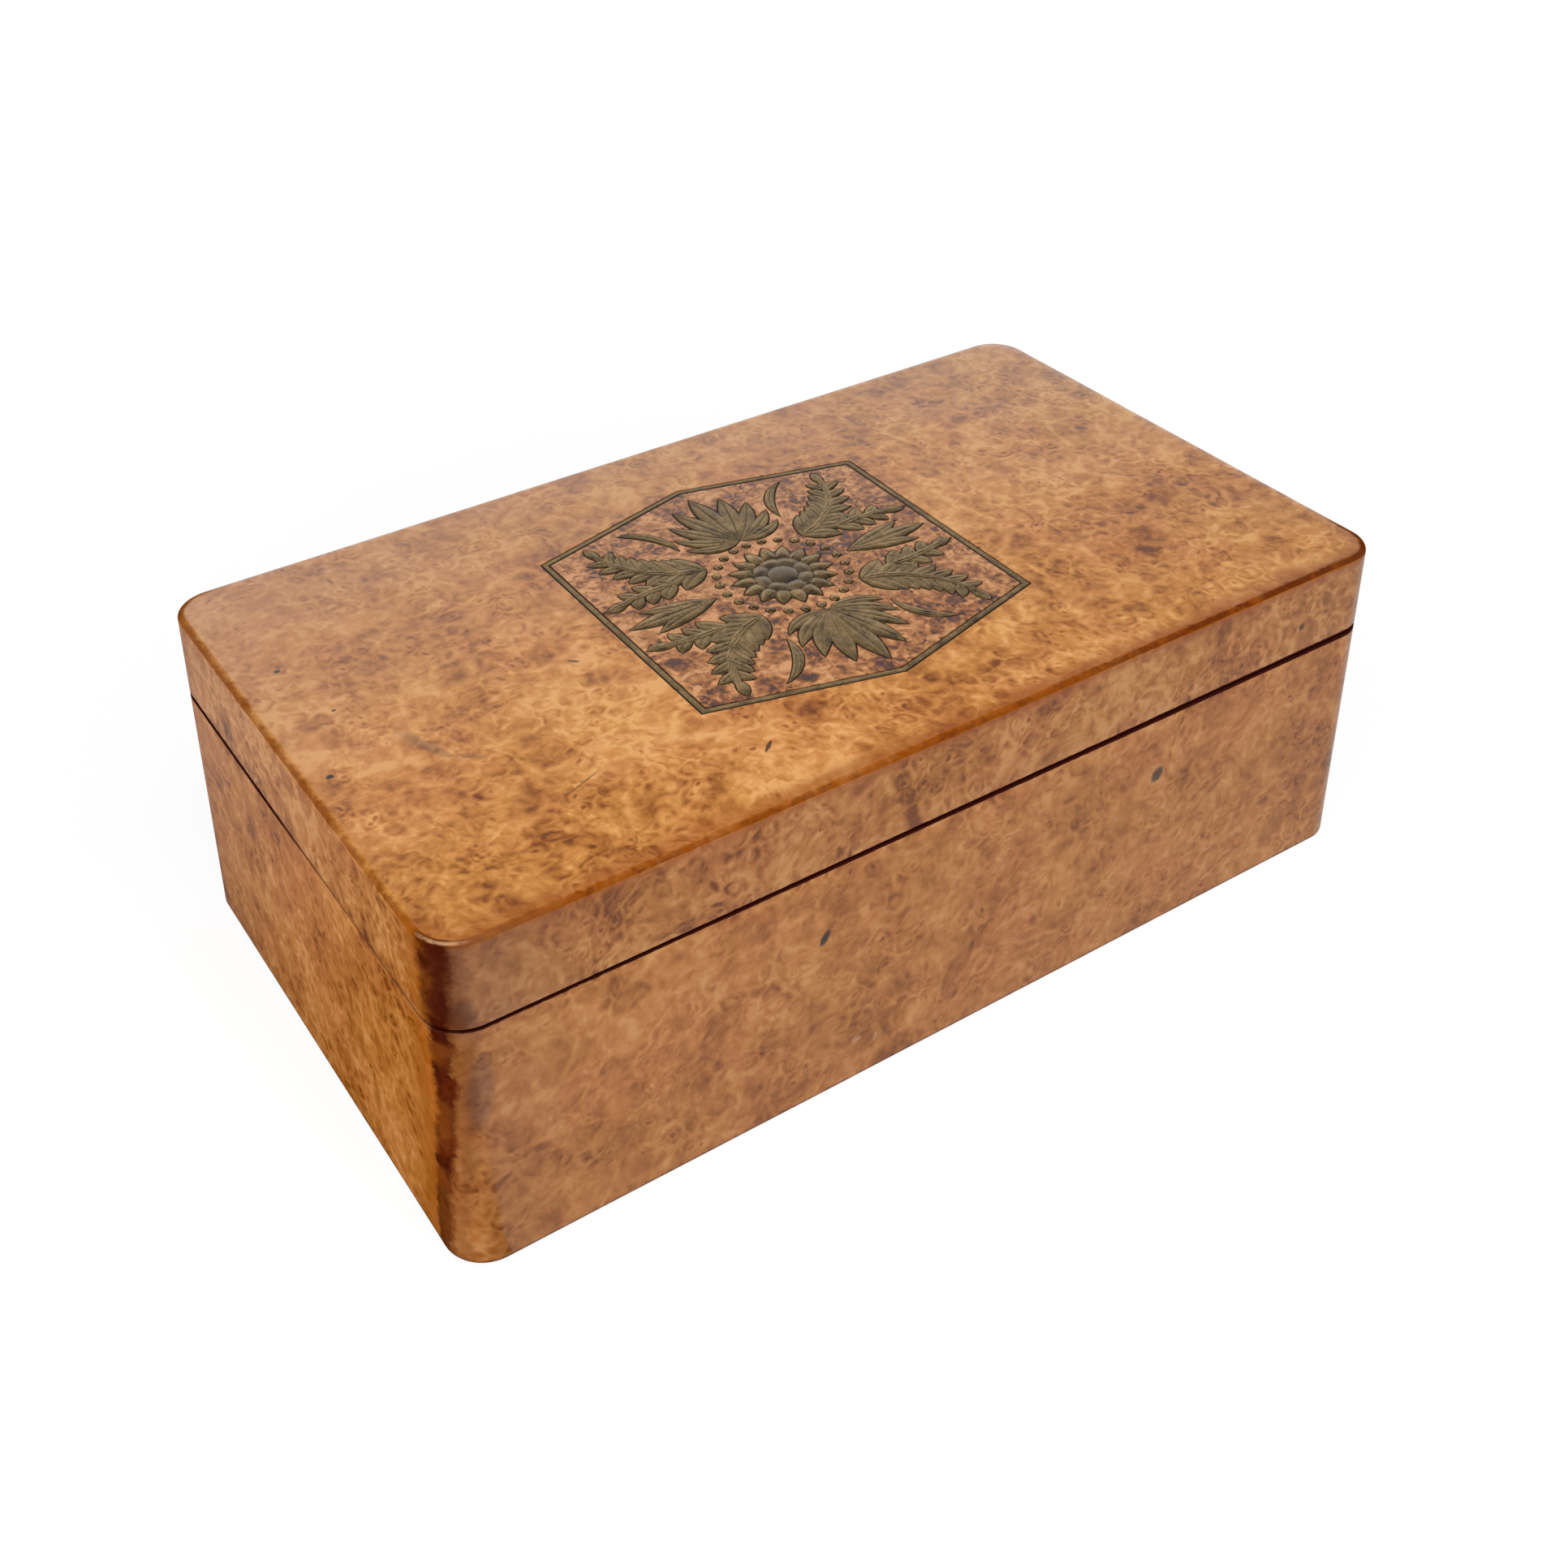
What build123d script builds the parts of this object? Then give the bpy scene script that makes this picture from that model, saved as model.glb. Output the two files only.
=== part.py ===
from build123d import *
import os
from math import cos, radians, sin

# A humidor: a veneered wooden box with a hinged lid, an inlaid brass ornament and a cedar lining.
# Sizes are in millimetres. The origin is at the centre of the box's footprint, on the surface that
# it stands on. +X runs along the box to the right, +Y to the hinges at the back, and +Z up.

# Outside of the box
box_length = 320.0
box_depth = 180.0
base_height = 80.9
seam_gap = 0.8
lid_height = 26.7
corner_radius = 12.0
veneer_thickness = 1.4
rim_ease = 0.4
arris_ease = 1.2

# Carcass
board_thickness = 12.0
bottom_thickness = 7.0
baize_thickness = 1.0
baize_inset = 2.0
lid_board_thickness = 8.0

# Cedar lining, whose upper edge is the lip that enters the lid
lining_thickness = 5.0
cedar_floor_thickness = 4.0
lid_panel_thickness = 4.0
lip_height = 6.0
lip_clearance = 0.5
lip_chamfer = 0.8

# Divider
divider_thickness = 5.0
divider_height = 62.0
divider_clearance = 0.35
divider_offset = 42.0
scoop_radius = 26.0
scoop_depth = 9.0

# Hinges
hinge_length = 50.0
hinge_offset = 95.0
leaf_width = 11.0
leaf_thickness = 1.6
knuckle_radius = 2.2
knuckle_clearance = 0.3
knuckle_count = 5
pin_radius = 0.8
pin_clearance = 0.05
pin_head_radius = 1.6
pin_head_height = 1.0
lid_opening = 95.0
stop_clearance = 0.3
stop_thickness = 1.2
stop_reach = 4.0

# Wood screws of the hinges
screw_radius = 1.0
screw_length = 9.0
screw_head_radius = 2.0
screw_head_height = 1.2
screw_tip_length = 2.0
screw_slot_width = 0.5
screw_slot_depth = 0.45
screw_spacing = 18.0
screw_clearance = 0.05

# Brass border let into the lid, a long hexagon
border_half_width = 58.0
border_side_half_height = 45.5
border_apex = 60.5
border_strip_width = 2.2
glue_line = 0.25

# Brass ornament inside the border
rosette_radius = 16.5
rosette_petals = 16
rosette_petal_width = 6.4
rosette_relief = 0.8
rosette_rib_width = 2.1
rosette_rib_relief = 0.4
rosette_boss_radius = 5.0
rosette_boss_round = 0.3
pearl_radius = 1.35
pearl_ring_radius = 19.9
pearl_count = 24
spray_root = (17.6, 15.0)
spray_heading = 17.0
spray_turn = 9.0
spray_pairs = 7
spray_step = 5.0
spray_leaf_length = 12.6
spray_leaf_width = 6.2
spray_end_size = 0.6
twig_root = (29.0, 13.8)
twig_heading = 2.0
twig_turn = -5.0
twig_pairs = 3
twig_step = 6.0
twig_leaf_length = 9.4
twig_leaf_width = 5.2
twig_end_size = 0.8
leaf_spread = 46.0
leaf_bend = 1.2
stem_width = 3.6
stem_reach = 2.4
palmette_root = (0.0, 23.5)
palmette_leaf_length = 30.0
palmette_leaf_width = 7.6
palmette_spread = 19.0
palmette_side_leaves = 4
palmette_taper = 0.105
palmette_bend = 0.6
fleuron_root = (23.8, 0.0)
fleuron_leaf_length = 30.0
fleuron_leaf_width = 7.0
fleuron_spread = 15.0
fleuron_taper = 0.2
fleuron_bend = -0.7
tendril_root = (18.7, 28.6)
tendril_heading = 56.0
tendril_length = 22.0
tendril_width = 3.4
tendril_bend = 3.4

# Hygrometer in the lid's lining
hygrometer_x = 72.0
gauge_case_radius = 21.6
gauge_case_depth = 8.2
gauge_wall = 0.8
gauge_seat_depth = 1.6
gauge_seat_width = 1.2
bezel_radius = 24.0
bezel_height = 2.8
bezel_ledge_height = 0.8
bezel_sight_radius = 18.6
bezel_round = 1.3
gauge_glass_radius = 20.0
gauge_glass_thickness = 1.2
dial_thickness = 0.5
needle_length = 14.5
needle_tail = 5.0
needle_width = 1.5
needle_thickness = 0.4
needle_lift = 0.7
needle_hub_radius = 1.7
needle_reading = 68.0
dial_sweep = 270.0
dial_top_angle = -90.0
arbor_radius = 0.6
arbor_length = 5.4
arbor_clearance = 0.05
coil_turns = 4
coil_inner_radius = 1.6
coil_pitch = 1.7
coil_strip = 0.35
coil_width = 2.4
coil_post_radius = 0.8
coil_gap = 1.0

# Humidifier in the lid's lining
humidifier_x = -66.0
cup_radius = 27.0
cup_depth = 7.5
cup_wall = 0.8
flange_radius = 32.0
flange_thickness = 1.2
sponge_thickness = 6.0
sponge_clearance = 0.3
grille_thickness = 1.2
vent_count = 10
outer_vent_circle = 19.0
outer_vent_radius = 2.5
inner_vent_circle = 10.5
inner_vent_radius = 1.5
shutter_radius = 24.5
shutter_thickness = 1.2
shutter_clearance = 0.3
shutter_travel = 18.0
stop_pin_radius = 0.9
stop_pin_circle = 14.8
thumb_knob_radius = 1.6
thumb_knob_height = 2.2
thumb_knob_round = 0.5
thumb_knob_circle = 14.8
thumb_knob_angle = 90.0
pivot_radius = 1.5
pivot_head_radius = 3.4
pivot_head_height = 1.1
flange_screw_count = 3
flange_screw_circle = 29.4
flange_screw_radius = 0.8
flange_screw_head_radius = 1.5
flange_screw_head_height = 0.9
flange_screw_length = 5.5

# Fit of round metal parts in wood and in each other
seat_clearance = 0.1

# Sizes that follow from the ones above
core_length = box_length - 2 * veneer_thickness
core_depth = box_depth - 2 * veneer_thickness
core_radius = corner_radius - veneer_thickness
arris_radius = min(arris_ease, 0.9 * veneer_thickness)
inner_length = core_length - 2 * board_thickness
inner_depth = core_depth - 2 * board_thickness
cavity_length = inner_length - 2 * lining_thickness
cavity_depth = inner_depth - 2 * lining_thickness
rail_thickness = board_thickness - lip_clearance
lid_inner_length = core_length - 2 * rail_thickness
lid_inner_depth = core_depth - 2 * rail_thickness

# Levels above the surface that the box stands on
foot_level = baize_thickness
walls_level = foot_level + bottom_thickness
rim_level = base_height
lip_level = rim_level + lip_height
lid_rim_level = rim_level + seam_gap
lid_top_level = lid_rim_level + lid_height
core_top_level = lid_top_level - veneer_thickness
lid_board_level = core_top_level - lid_board_thickness
panel_level = lid_board_level - lid_panel_thickness
floor_level = walls_level + cedar_floor_thickness

# The hinges' axis
hinge_axis_y = box_depth / 2 + knuckle_radius + knuckle_clearance
hinge_axis_z = rim_level + seam_gap / 2
hinge_places = (-hinge_offset, hinge_offset)

# The four sides, each a quarter turn from the one before
sides = ("front", "right", "back", "left")


def span_of(side, length, depth):
    """Length along a side, and depth across the box from it."""
    return (length, depth) if side in ("front", "back") else (depth, length)


def mitre_plan(side, length, depth, reach):
    """Plan of one side of a mitred frame: a trapezoid between two 45 degree mitres."""
    along, across = span_of(side, length, depth)
    turn = 360 / len(sides) * sides.index(side)
    with BuildSketch(Plane.XY.rotated((0, 0, turn))) as plan:
        with BuildLine():
            Polyline(
                (-along / 2, -across / 2),
                (along / 2, -across / 2),
                (along / 2 - reach, -across / 2 + reach),
                (-along / 2 + reach, -across / 2 + reach),
                close=True,
            )
        make_face()
    return plan.sketch


def mitred_board(side, length, depth, thickness, bottom, top):
    """One board of a mitred frame, between two levels."""
    with BuildPart() as board:
        with BuildSketch(Plane.XY.offset(bottom)):
            add(mitre_plan(side, length, depth, thickness))
        extrude(amount=top - bottom)
    return board.part


def inset_corners(corners, distance):
    """Corners of a polygon whose sides have moved inwards by a distance. The corners run anticlockwise."""
    moved = []
    for i in range(len(corners)):
        before = Vector(*corners[i]) - Vector(*corners[i - 1])
        after = Vector(*corners[(i + 1) % len(corners)]) - Vector(*corners[i])
        first = Vector(-before.Y, before.X).normalized()
        second = Vector(-after.Y, after.X).normalized()
        shift = (first + second) * (distance / (1 + first.dot(second)))
        moved.append((corners[i][0] + shift.X, corners[i][1] + shift.Y))
    return moved


def countersunk_screw():
    """A wood screw whose head is flush with the level 0 and whose tip points down."""
    with BuildPart() as screw:
        with BuildSketch(Plane.XZ):
            with BuildLine():
                Polyline(
                    (0, 0),
                    (screw_head_radius, 0),
                    (screw_radius, -screw_head_height),
                    (screw_radius, -screw_length + screw_tip_length),
                    (0, -screw_length),
                    close=True,
                )
            make_face()
        revolve(axis=Axis.Z)
        with BuildSketch(Plane.XY):
            Rectangle(2 * screw_head_radius, screw_slot_width)
        extrude(amount=-screw_slot_depth, mode=Mode.SUBTRACT)
    return screw.part


def screw_places(level):
    """Where the screws of both hinges stand, three to a leaf."""
    row_y = box_depth / 2 - leaf_width / 2
    return [
        (hinge_x + step * screw_spacing, row_y, level)
        for hinge_x in hinge_places
        for step in (-1, 0, 1)
    ]


def hinge_leaf(side):
    """A leaf of a stop hinge in the middle of the box: side is -1 in the base and 1 in the lid."""
    section = Plane(origin=(-hinge_length / 2, hinge_axis_y, hinge_axis_z), x_dir=(0, 1, 0), z_dir=(1, 0, 0))
    plate_height = side * (seam_gap + leaf_thickness) / 2
    back_gap = knuckle_radius + knuckle_clearance
    knuckle_pitch = (hinge_length + knuckle_clearance) / knuckle_count
    knuckle_length = knuckle_pitch - knuckle_clearance
    stop_angle = side * lid_opening / 2
    stop_side = side * (stop_clearance + stop_thickness) / 2
    stop_root = knuckle_radius + knuckle_clearance
    first_knuckle = 0 if side < 0 else 1
    with BuildPart() as leaf:
        with BuildSketch(section):
            with Locations((-back_gap - leaf_width / 2, plate_height)):
                Rectangle(leaf_width, leaf_thickness)
            with Locations(Location((0, 0), stop_angle)):
                with Locations(((stop_root + stop_reach) / 2, stop_side)):
                    Rectangle(stop_reach - stop_root, stop_thickness)
        extrude(amount=hinge_length)
        for knuckle in range(first_knuckle, knuckle_count, 2):
            with BuildSketch(section.offset(knuckle * knuckle_pitch)):
                Circle(knuckle_radius)
                with Locations((-back_gap / 2, plate_height)):
                    Rectangle(back_gap, leaf_thickness)
                with Locations(Location((0, 0), stop_angle)):
                    with Locations((stop_root / 2, stop_side)):
                        Rectangle(stop_root, stop_thickness)
            extrude(amount=knuckle_length)
        with BuildSketch(section):
            Circle(pin_radius + pin_clearance)
        extrude(amount=hinge_length, mode=Mode.SUBTRACT)
        face_level = rim_level if side < 0 else lid_rim_level
        with BuildSketch(Plane.XY.offset(face_level)):
            with Locations((0, box_depth / 2 - leaf_width / 2)):
                with GridLocations(screw_spacing, 0, 3, 1):
                    Circle(screw_radius + screw_clearance)
        extrude(amount=side * leaf_thickness, mode=Mode.SUBTRACT)
        with Locations((0, box_depth / 2 - leaf_width / 2, face_level + side * screw_head_height / 2)):
            with GridLocations(screw_spacing, 0, 3, 1):
                Cone(
                    (screw_radius if side < 0 else screw_head_radius) + screw_clearance,
                    (screw_head_radius if side < 0 else screw_radius) + screw_clearance,
                    screw_head_height,
                    mode=Mode.SUBTRACT,
                )
    return leaf.part


def mortises(side):
    """What the hinges and their screws take out of a back wall: side is -1 in the base and 1 in the lid."""
    face_level = rim_level if side < 0 else lid_rim_level
    with BuildPart() as cuts:
        with BuildSketch(Plane.XY.offset(face_level)):
            with Locations((0, box_depth / 2 - leaf_width / 2)):
                with GridLocations(2 * hinge_offset, 0, 2, 1):
                    Rectangle(hinge_length, leaf_width)
        extrude(amount=side * leaf_thickness)
        with BuildSketch(Plane.XY.offset(face_level)):
            with Locations(*[place[:2] for place in screw_places(face_level)]):
                Circle(screw_radius + screw_clearance)
        extrude(amount=side * (screw_length + screw_clearance))
    return cuts.part


os.makedirs("parts", exist_ok=True)

# Baize under the box
with BuildPart() as baize:
    with BuildSketch():
        RectangleRounded(box_length - 2 * baize_inset, box_depth - 2 * baize_inset, corner_radius - baize_inset)
    extrude(amount=baize_thickness)
baize.part.label = "baize_pad"
export_step(baize.part, "parts/baize_pad.step")

# Bottom board, planted on under the walls
with BuildPart() as bottom:
    with BuildSketch(Plane.XY.offset(foot_level)):
        RectangleRounded(core_length, core_depth, core_radius)
    extrude(amount=bottom_thickness)
bottom.part.label = "bottom_board"
export_step(bottom.part, "parts/bottom_board.step")

# The core's rounded corners, as a block that trims the mitred boards
with BuildPart() as core_block:
    with BuildSketch():
        RectangleRounded(core_length, core_depth, core_radius)
    extrude(amount=lid_top_level)

base_mortises = mortises(-1)
lid_mortises = mortises(1)

# Walls of the base
for side in sides:
    with BuildPart() as wall:
        add(mitred_board(side, core_length, core_depth, board_thickness, walls_level, rim_level))
        add(core_block.part, mode=Mode.INTERSECT)
        if side == "back":
            add(base_mortises, mode=Mode.SUBTRACT)
    wall.part.label = f"base_{side}_board"
    export_step(wall.part, f"parts/base_{side}_board.step")

# Rails of the lid
for side in sides:
    with BuildPart() as rail:
        add(mitred_board(side, core_length, core_depth, rail_thickness, lid_rim_level, lid_board_level))
        add(core_block.part, mode=Mode.INTERSECT)
        if side == "back":
            add(lid_mortises, mode=Mode.SUBTRACT)
    rail.part.label = f"lid_{side}_rail"
    export_step(rail.part, f"parts/lid_{side}_rail.step")

# Burr veneer round the base, in one ring with its rim eased
with BuildPart() as base_skin:
    with BuildSketch(Plane.XY.offset(foot_level)):
        RectangleRounded(box_length, box_depth, corner_radius)
        RectangleRounded(core_length, core_depth, core_radius, mode=Mode.SUBTRACT)
    extrude(amount=rim_level - foot_level)
    fillet(faces().sort_by(Axis.Z)[-1].outer_wire().edges(), rim_ease)

# Burr veneer round the lid, in one ring with its rim eased
with BuildPart() as lid_skin:
    with BuildSketch(Plane.XY.offset(lid_rim_level)):
        RectangleRounded(box_length, box_depth, corner_radius)
        RectangleRounded(core_length, core_depth, core_radius, mode=Mode.SUBTRACT)
    extrude(amount=core_top_level - lid_rim_level)
    fillet(faces().sort_by(Axis.Z)[0].outer_wire().edges(), rim_ease)

# The rings are cut into four leaves of veneer, which meet in the middle of each rounded corner
for side in sides:
    quarter = mitred_board(side, box_length, box_depth, corner_radius, 0, lid_top_level)
    with BuildPart() as base_veneer:
        add(base_skin.part)
        add(quarter, mode=Mode.INTERSECT)
        if side == "back":
            add(base_mortises, mode=Mode.SUBTRACT)
    base_veneer.part.label = f"base_{side}_veneer"
    export_step(base_veneer.part, f"parts/base_{side}_veneer.step")
    with BuildPart() as lid_veneer:
        add(lid_skin.part)
        add(quarter, mode=Mode.INTERSECT)
        if side == "back":
            add(lid_mortises, mode=Mode.SUBTRACT)
    lid_veneer.part.label = f"lid_{side}_veneer"
    export_step(lid_veneer.part, f"parts/lid_{side}_veneer.step")

# Cedar floor
with BuildPart() as cedar_floor:
    with BuildSketch(Plane.XY.offset(walls_level)):
        Rectangle(cavity_length, cavity_depth)
    extrude(amount=cedar_floor_thickness)
cedar_floor.part.label = "cedar_floor"
export_step(cedar_floor.part, "parts/cedar_floor.step")

# Cedar lining of the walls, with the lip's outer edge chamfered to guide the lid
with BuildPart() as lining_block:
    with BuildSketch(Plane.XY.offset(walls_level)):
        Rectangle(inner_length, inner_depth)
    extrude(amount=lip_level - walls_level)
    chamfer(faces().sort_by(Axis.Z)[-1].edges(), lip_chamfer)
for side in sides:
    with BuildPart() as lining:
        add(mitred_board(side, inner_length, inner_depth, lining_thickness, walls_level, lip_level))
        add(lining_block.part, mode=Mode.INTERSECT)
    lining.part.label = f"cedar_{side}_lining"
    export_step(lining.part, f"parts/cedar_{side}_lining.step")

# Divider, a cedar board across the box with a finger scoop in its upper edge
scoop_centre = floor_level + divider_clearance + divider_height - scoop_depth + scoop_radius
with BuildPart() as divider:
    with BuildSketch(Plane.YZ.offset(divider_offset - divider_thickness / 2)):
        with Locations((0, floor_level + divider_clearance + divider_height / 2)):
            Rectangle(cavity_depth - 2 * divider_clearance, divider_height)
        with Locations((0, scoop_centre)):
            Circle(scoop_radius, mode=Mode.SUBTRACT)
    extrude(amount=divider_thickness)
divider.part.label = "divider"
export_step(divider.part, "parts/divider.step")

# Hinge leaves, pins and screws
base_leaf = hinge_leaf(-1)
lid_leaf = hinge_leaf(1)
screw = countersunk_screw()
with BuildPart() as hinge_base_leaves:
    with GridLocations(2 * hinge_offset, 0, 2, 1):
        add(base_leaf)
hinge_base_leaves.part.label = "hinge_base_leaves"
export_step(hinge_base_leaves.part, "parts/hinge_base_leaves.step")

with BuildPart() as hinge_lid_leaves:
    with GridLocations(2 * hinge_offset, 0, 2, 1):
        add(lid_leaf)
hinge_lid_leaves.part.label = "hinge_lid_leaves"
export_step(hinge_lid_leaves.part, "parts/hinge_lid_leaves.step")

with BuildPart() as hinge_pins:
    for hinge_x in hinge_places:
        pin_end = Plane(origin=(hinge_x - hinge_length / 2, hinge_axis_y, hinge_axis_z), z_dir=(1, 0, 0))
        with BuildSketch(pin_end.offset(-pin_head_height)):
            Circle(pin_head_radius)
        extrude(amount=pin_head_height)
        with BuildSketch(pin_end):
            Circle(pin_radius)
        extrude(amount=hinge_length)
        with BuildSketch(pin_end.offset(hinge_length)):
            Circle(pin_head_radius)
        extrude(amount=pin_head_height)
hinge_pins.part.label = "hinge_pins"
export_step(hinge_pins.part, "parts/hinge_pins.step")

with BuildPart() as hinge_base_screws:
    with Locations(*screw_places(rim_level)):
        add(screw)
hinge_base_screws.part.label = "hinge_base_screws"
export_step(hinge_base_screws.part, "parts/hinge_base_screws.step")

with BuildPart() as hinge_lid_screws:
    with Locations(*[Location(place, (180, 0, 0)) for place in screw_places(lid_rim_level)]):
        add(screw)
hinge_lid_screws.part.label = "hinge_lid_screws"
export_step(hinge_lid_screws.part, "parts/hinge_lid_screws.step")

# Top board of the lid, pocketed from below for the gauge's case and the humidifier's cup
with BuildPart() as lid_board:
    with BuildSketch(Plane.XY.offset(lid_board_level)):
        RectangleRounded(core_length, core_depth, core_radius)
    extrude(amount=lid_board_thickness)
    with BuildSketch(Plane.XY.offset(panel_level)):
        with Locations((hygrometer_x, 0)):
            Circle(gauge_case_radius + seat_clearance)
    extrude(amount=gauge_case_depth + seat_clearance, mode=Mode.SUBTRACT)
    with BuildSketch(Plane.XY.offset(panel_level)):
        with Locations((humidifier_x, 0)):
            Circle(cup_radius + seat_clearance)
    extrude(amount=cup_depth + seat_clearance, mode=Mode.SUBTRACT)
lid_board.part.label = "lid_top_board"
export_step(lid_board.part, "parts/lid_top_board.step")

# Cedar panel under the top board, with a round hole for each instrument
with BuildPart() as lid_panel:
    with BuildSketch(Plane.XY.offset(panel_level)):
        Rectangle(lid_inner_length, lid_inner_depth)
        with Locations((hygrometer_x, 0)):
            Circle(gauge_case_radius + seat_clearance, mode=Mode.SUBTRACT)
        with Locations((humidifier_x, 0)):
            Circle(cup_radius + seat_clearance, mode=Mode.SUBTRACT)
            with PolarLocations(flange_screw_circle, flange_screw_count):
                Circle(flange_screw_radius + screw_clearance, mode=Mode.SUBTRACT)
    extrude(amount=lid_panel_thickness)
lid_panel.part.label = "lid_cedar_panel"
export_step(lid_panel.part, "parts/lid_cedar_panel.step")

# Cedar strips round the inside of the lid, level with the lining of the base and clear of its lip
for side in sides:
    strip_thickness = lining_thickness + lip_clearance
    with BuildPart() as strip:
        add(
            mitred_board(
                side, lid_inner_length, lid_inner_depth, strip_thickness, lip_level + lip_clearance, panel_level
            )
        )
    strip.part.label = f"lid_{side}_cedar_strip"
    export_step(strip.part, f"parts/lid_{side}_cedar_strip.step")

# Corners of the brass border, anticlockwise from the front right
border_corners = [
    (border_half_width, -border_side_half_height),
    (border_half_width, border_side_half_height),
    (0.0, border_apex),
    (-border_half_width, border_side_half_height),
    (-border_half_width, -border_side_half_height),
    (0.0, -border_apex),
]
inlay_plane = Plane.XY.offset(core_top_level)

# Burr veneer of the lid's top, round the border
with BuildPart() as top_veneer:
    with BuildSketch(inlay_plane):
        RectangleRounded(box_length, box_depth, corner_radius)
    extrude(amount=veneer_thickness)
    fillet(faces().sort_by(Axis.Z)[-1].outer_wire().edges(), arris_radius)
    with BuildSketch(inlay_plane):
        Polygon(*inset_corners(border_corners, -glue_line), align=None)
    extrude(amount=veneer_thickness, mode=Mode.SUBTRACT)
top_veneer.part.label = "lid_top_veneer"
export_step(top_veneer.part, "parts/lid_top_veneer.step")

# Brass border
with BuildPart() as border:
    with BuildSketch(inlay_plane):
        Polygon(*border_corners, align=None)
        Polygon(*inset_corners(border_corners, border_strip_width), align=None, mode=Mode.SUBTRACT)
    extrude(amount=veneer_thickness)
border.part.label = "inlay_border"
export_step(border.part, "parts/inlay_border.step")


def leaflet(root, heading, length, width, bend=0.0, grow=0.0):
    """A pointed leaflet: two arcs from root to tip, curved sideways by bend and larger all round by grow."""
    along = Vector(cos(radians(heading)), sin(radians(heading)))
    across = Vector(-along.Y, along.X)
    start = Vector(*root)
    tip = start + along * length
    middle = (start + tip) * 0.5 + across * bend
    with BuildSketch() as leaf:
        with BuildLine():
            ThreePointArc(start, middle + across * (width / 2), tip)
            ThreePointArc(tip, middle - across * (width / 2), start)
        make_face()
        if grow > 0:
            offset(amount=grow)
    return leaf.sketch


def rosette_plan(grow=0.0):
    """Petals round a disc."""
    with BuildSketch() as plan:
        Circle(rosette_radius - rosette_petal_width / 2 + grow)
        for i in range(rosette_petals):
            heading = (i + 0.5) * 360 / rosette_petals
            add(leaflet((0, 0), heading, rosette_radius, rosette_petal_width, grow=grow))
    return plan.sketch


def pearls_plan(grow=0.0):
    """A ring of pearls round the rosette."""
    with BuildSketch() as plan:
        with PolarLocations(pearl_ring_radius, pearl_count):
            Circle(pearl_radius + grow)
    return plan.sketch


def branch_plan(root, heading, turn, pairs, step, length, width, end_size, grow):
    """A curling branch: pairs of leaflets on a stem that turns at each step, each smaller than the last."""
    with BuildSketch() as plan:
        x, y = root
        for i in range(pairs):
            size = 1 - (1 - end_size) * i / (pairs - 1)
            add(leaflet((x, y), heading, stem_reach * step, stem_width * size, grow=grow))
            for hand in (-1, 1):
                side = heading + hand * leaf_spread
                add(leaflet((x, y), side, length * size, width * size, -hand * leaf_bend * size, grow))
            x += step * cos(radians(heading))
            y += step * sin(radians(heading))
            heading += turn
        add(leaflet((x, y), heading, length * end_size, width * end_size, grow=grow))
    return plan.sketch


def sprays_plan(grow=0.0):
    """Four sprays towards the corners, each of a long branch and a twig that leaves it sideways."""
    with BuildSketch() as plan:
        add(
            branch_plan(
                spray_root,
                spray_heading,
                spray_turn,
                spray_pairs,
                spray_step,
                spray_leaf_length,
                spray_leaf_width,
                spray_end_size,
                grow,
            )
        )
        add(
            branch_plan(
                twig_root,
                twig_heading,
                twig_turn,
                twig_pairs,
                twig_step,
                twig_leaf_length,
                twig_leaf_width,
                twig_end_size,
                grow,
            )
        )
        mirror(about=Plane.XZ)
        mirror(about=Plane.YZ)
    return plan.sketch


def palmettes_plan(grow=0.0):
    """A fan of leaflets towards the front and the back point of the border."""
    with BuildSketch() as plan:
        for i in range(-palmette_side_leaves, palmette_side_leaves + 1):
            size = 1 - palmette_taper * abs(i)
            leaf_length = palmette_leaf_length * size
            leaf_breadth = palmette_leaf_width * size
            bend = palmette_bend * i
            add(leaflet(palmette_root, 90 + i * palmette_spread, leaf_length, leaf_breadth, bend, grow))
        mirror(about=Plane.XZ)
    return plan.sketch


def fleurons_plan(grow=0.0):
    """Three leaflets towards each side of the border."""
    with BuildSketch() as plan:
        for i in (-1, 0, 1):
            size = 1 - fleuron_taper * abs(i)
            leaf_length = fleuron_leaf_length * size
            leaf_breadth = fleuron_leaf_width * size
            bend = fleuron_bend * i
            add(leaflet(fleuron_root, i * fleuron_spread, leaf_length, leaf_breadth, bend, grow))
        mirror(about=Plane.YZ)
    return plan.sketch


def tendrils_plan(grow=0.0):
    """Four bent tendrils between the palmettes and the sprays."""
    with BuildSketch() as plan:
        add(leaflet(tendril_root, tendril_heading, tendril_length, tendril_width, tendril_bend, grow))
        mirror(about=Plane.XZ)
        mirror(about=Plane.YZ)
    return plan.sketch


ornament_plans = {
    "inlay_pearls": pearls_plan,
    "inlay_sprays": sprays_plan,
    "inlay_palmettes": palmettes_plan,
    "inlay_fleurons": fleurons_plan,
    "inlay_tendrils": tendrils_plan,
}

# Darker burr veneer inside the border, pierced for the ornament
with BuildPart() as field_veneer:
    with BuildSketch(inlay_plane):
        Polygon(*inset_corners(border_corners, border_strip_width + glue_line), align=None)
    extrude(amount=veneer_thickness)
    for plan in (rosette_plan, *ornament_plans.values()):
        with BuildSketch(inlay_plane):
            add(plan(glue_line))
        extrude(amount=veneer_thickness, mode=Mode.SUBTRACT)
field_veneer.part.label = "inlay_field_veneer"
export_step(field_veneer.part, "parts/inlay_field_veneer.step")

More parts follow.
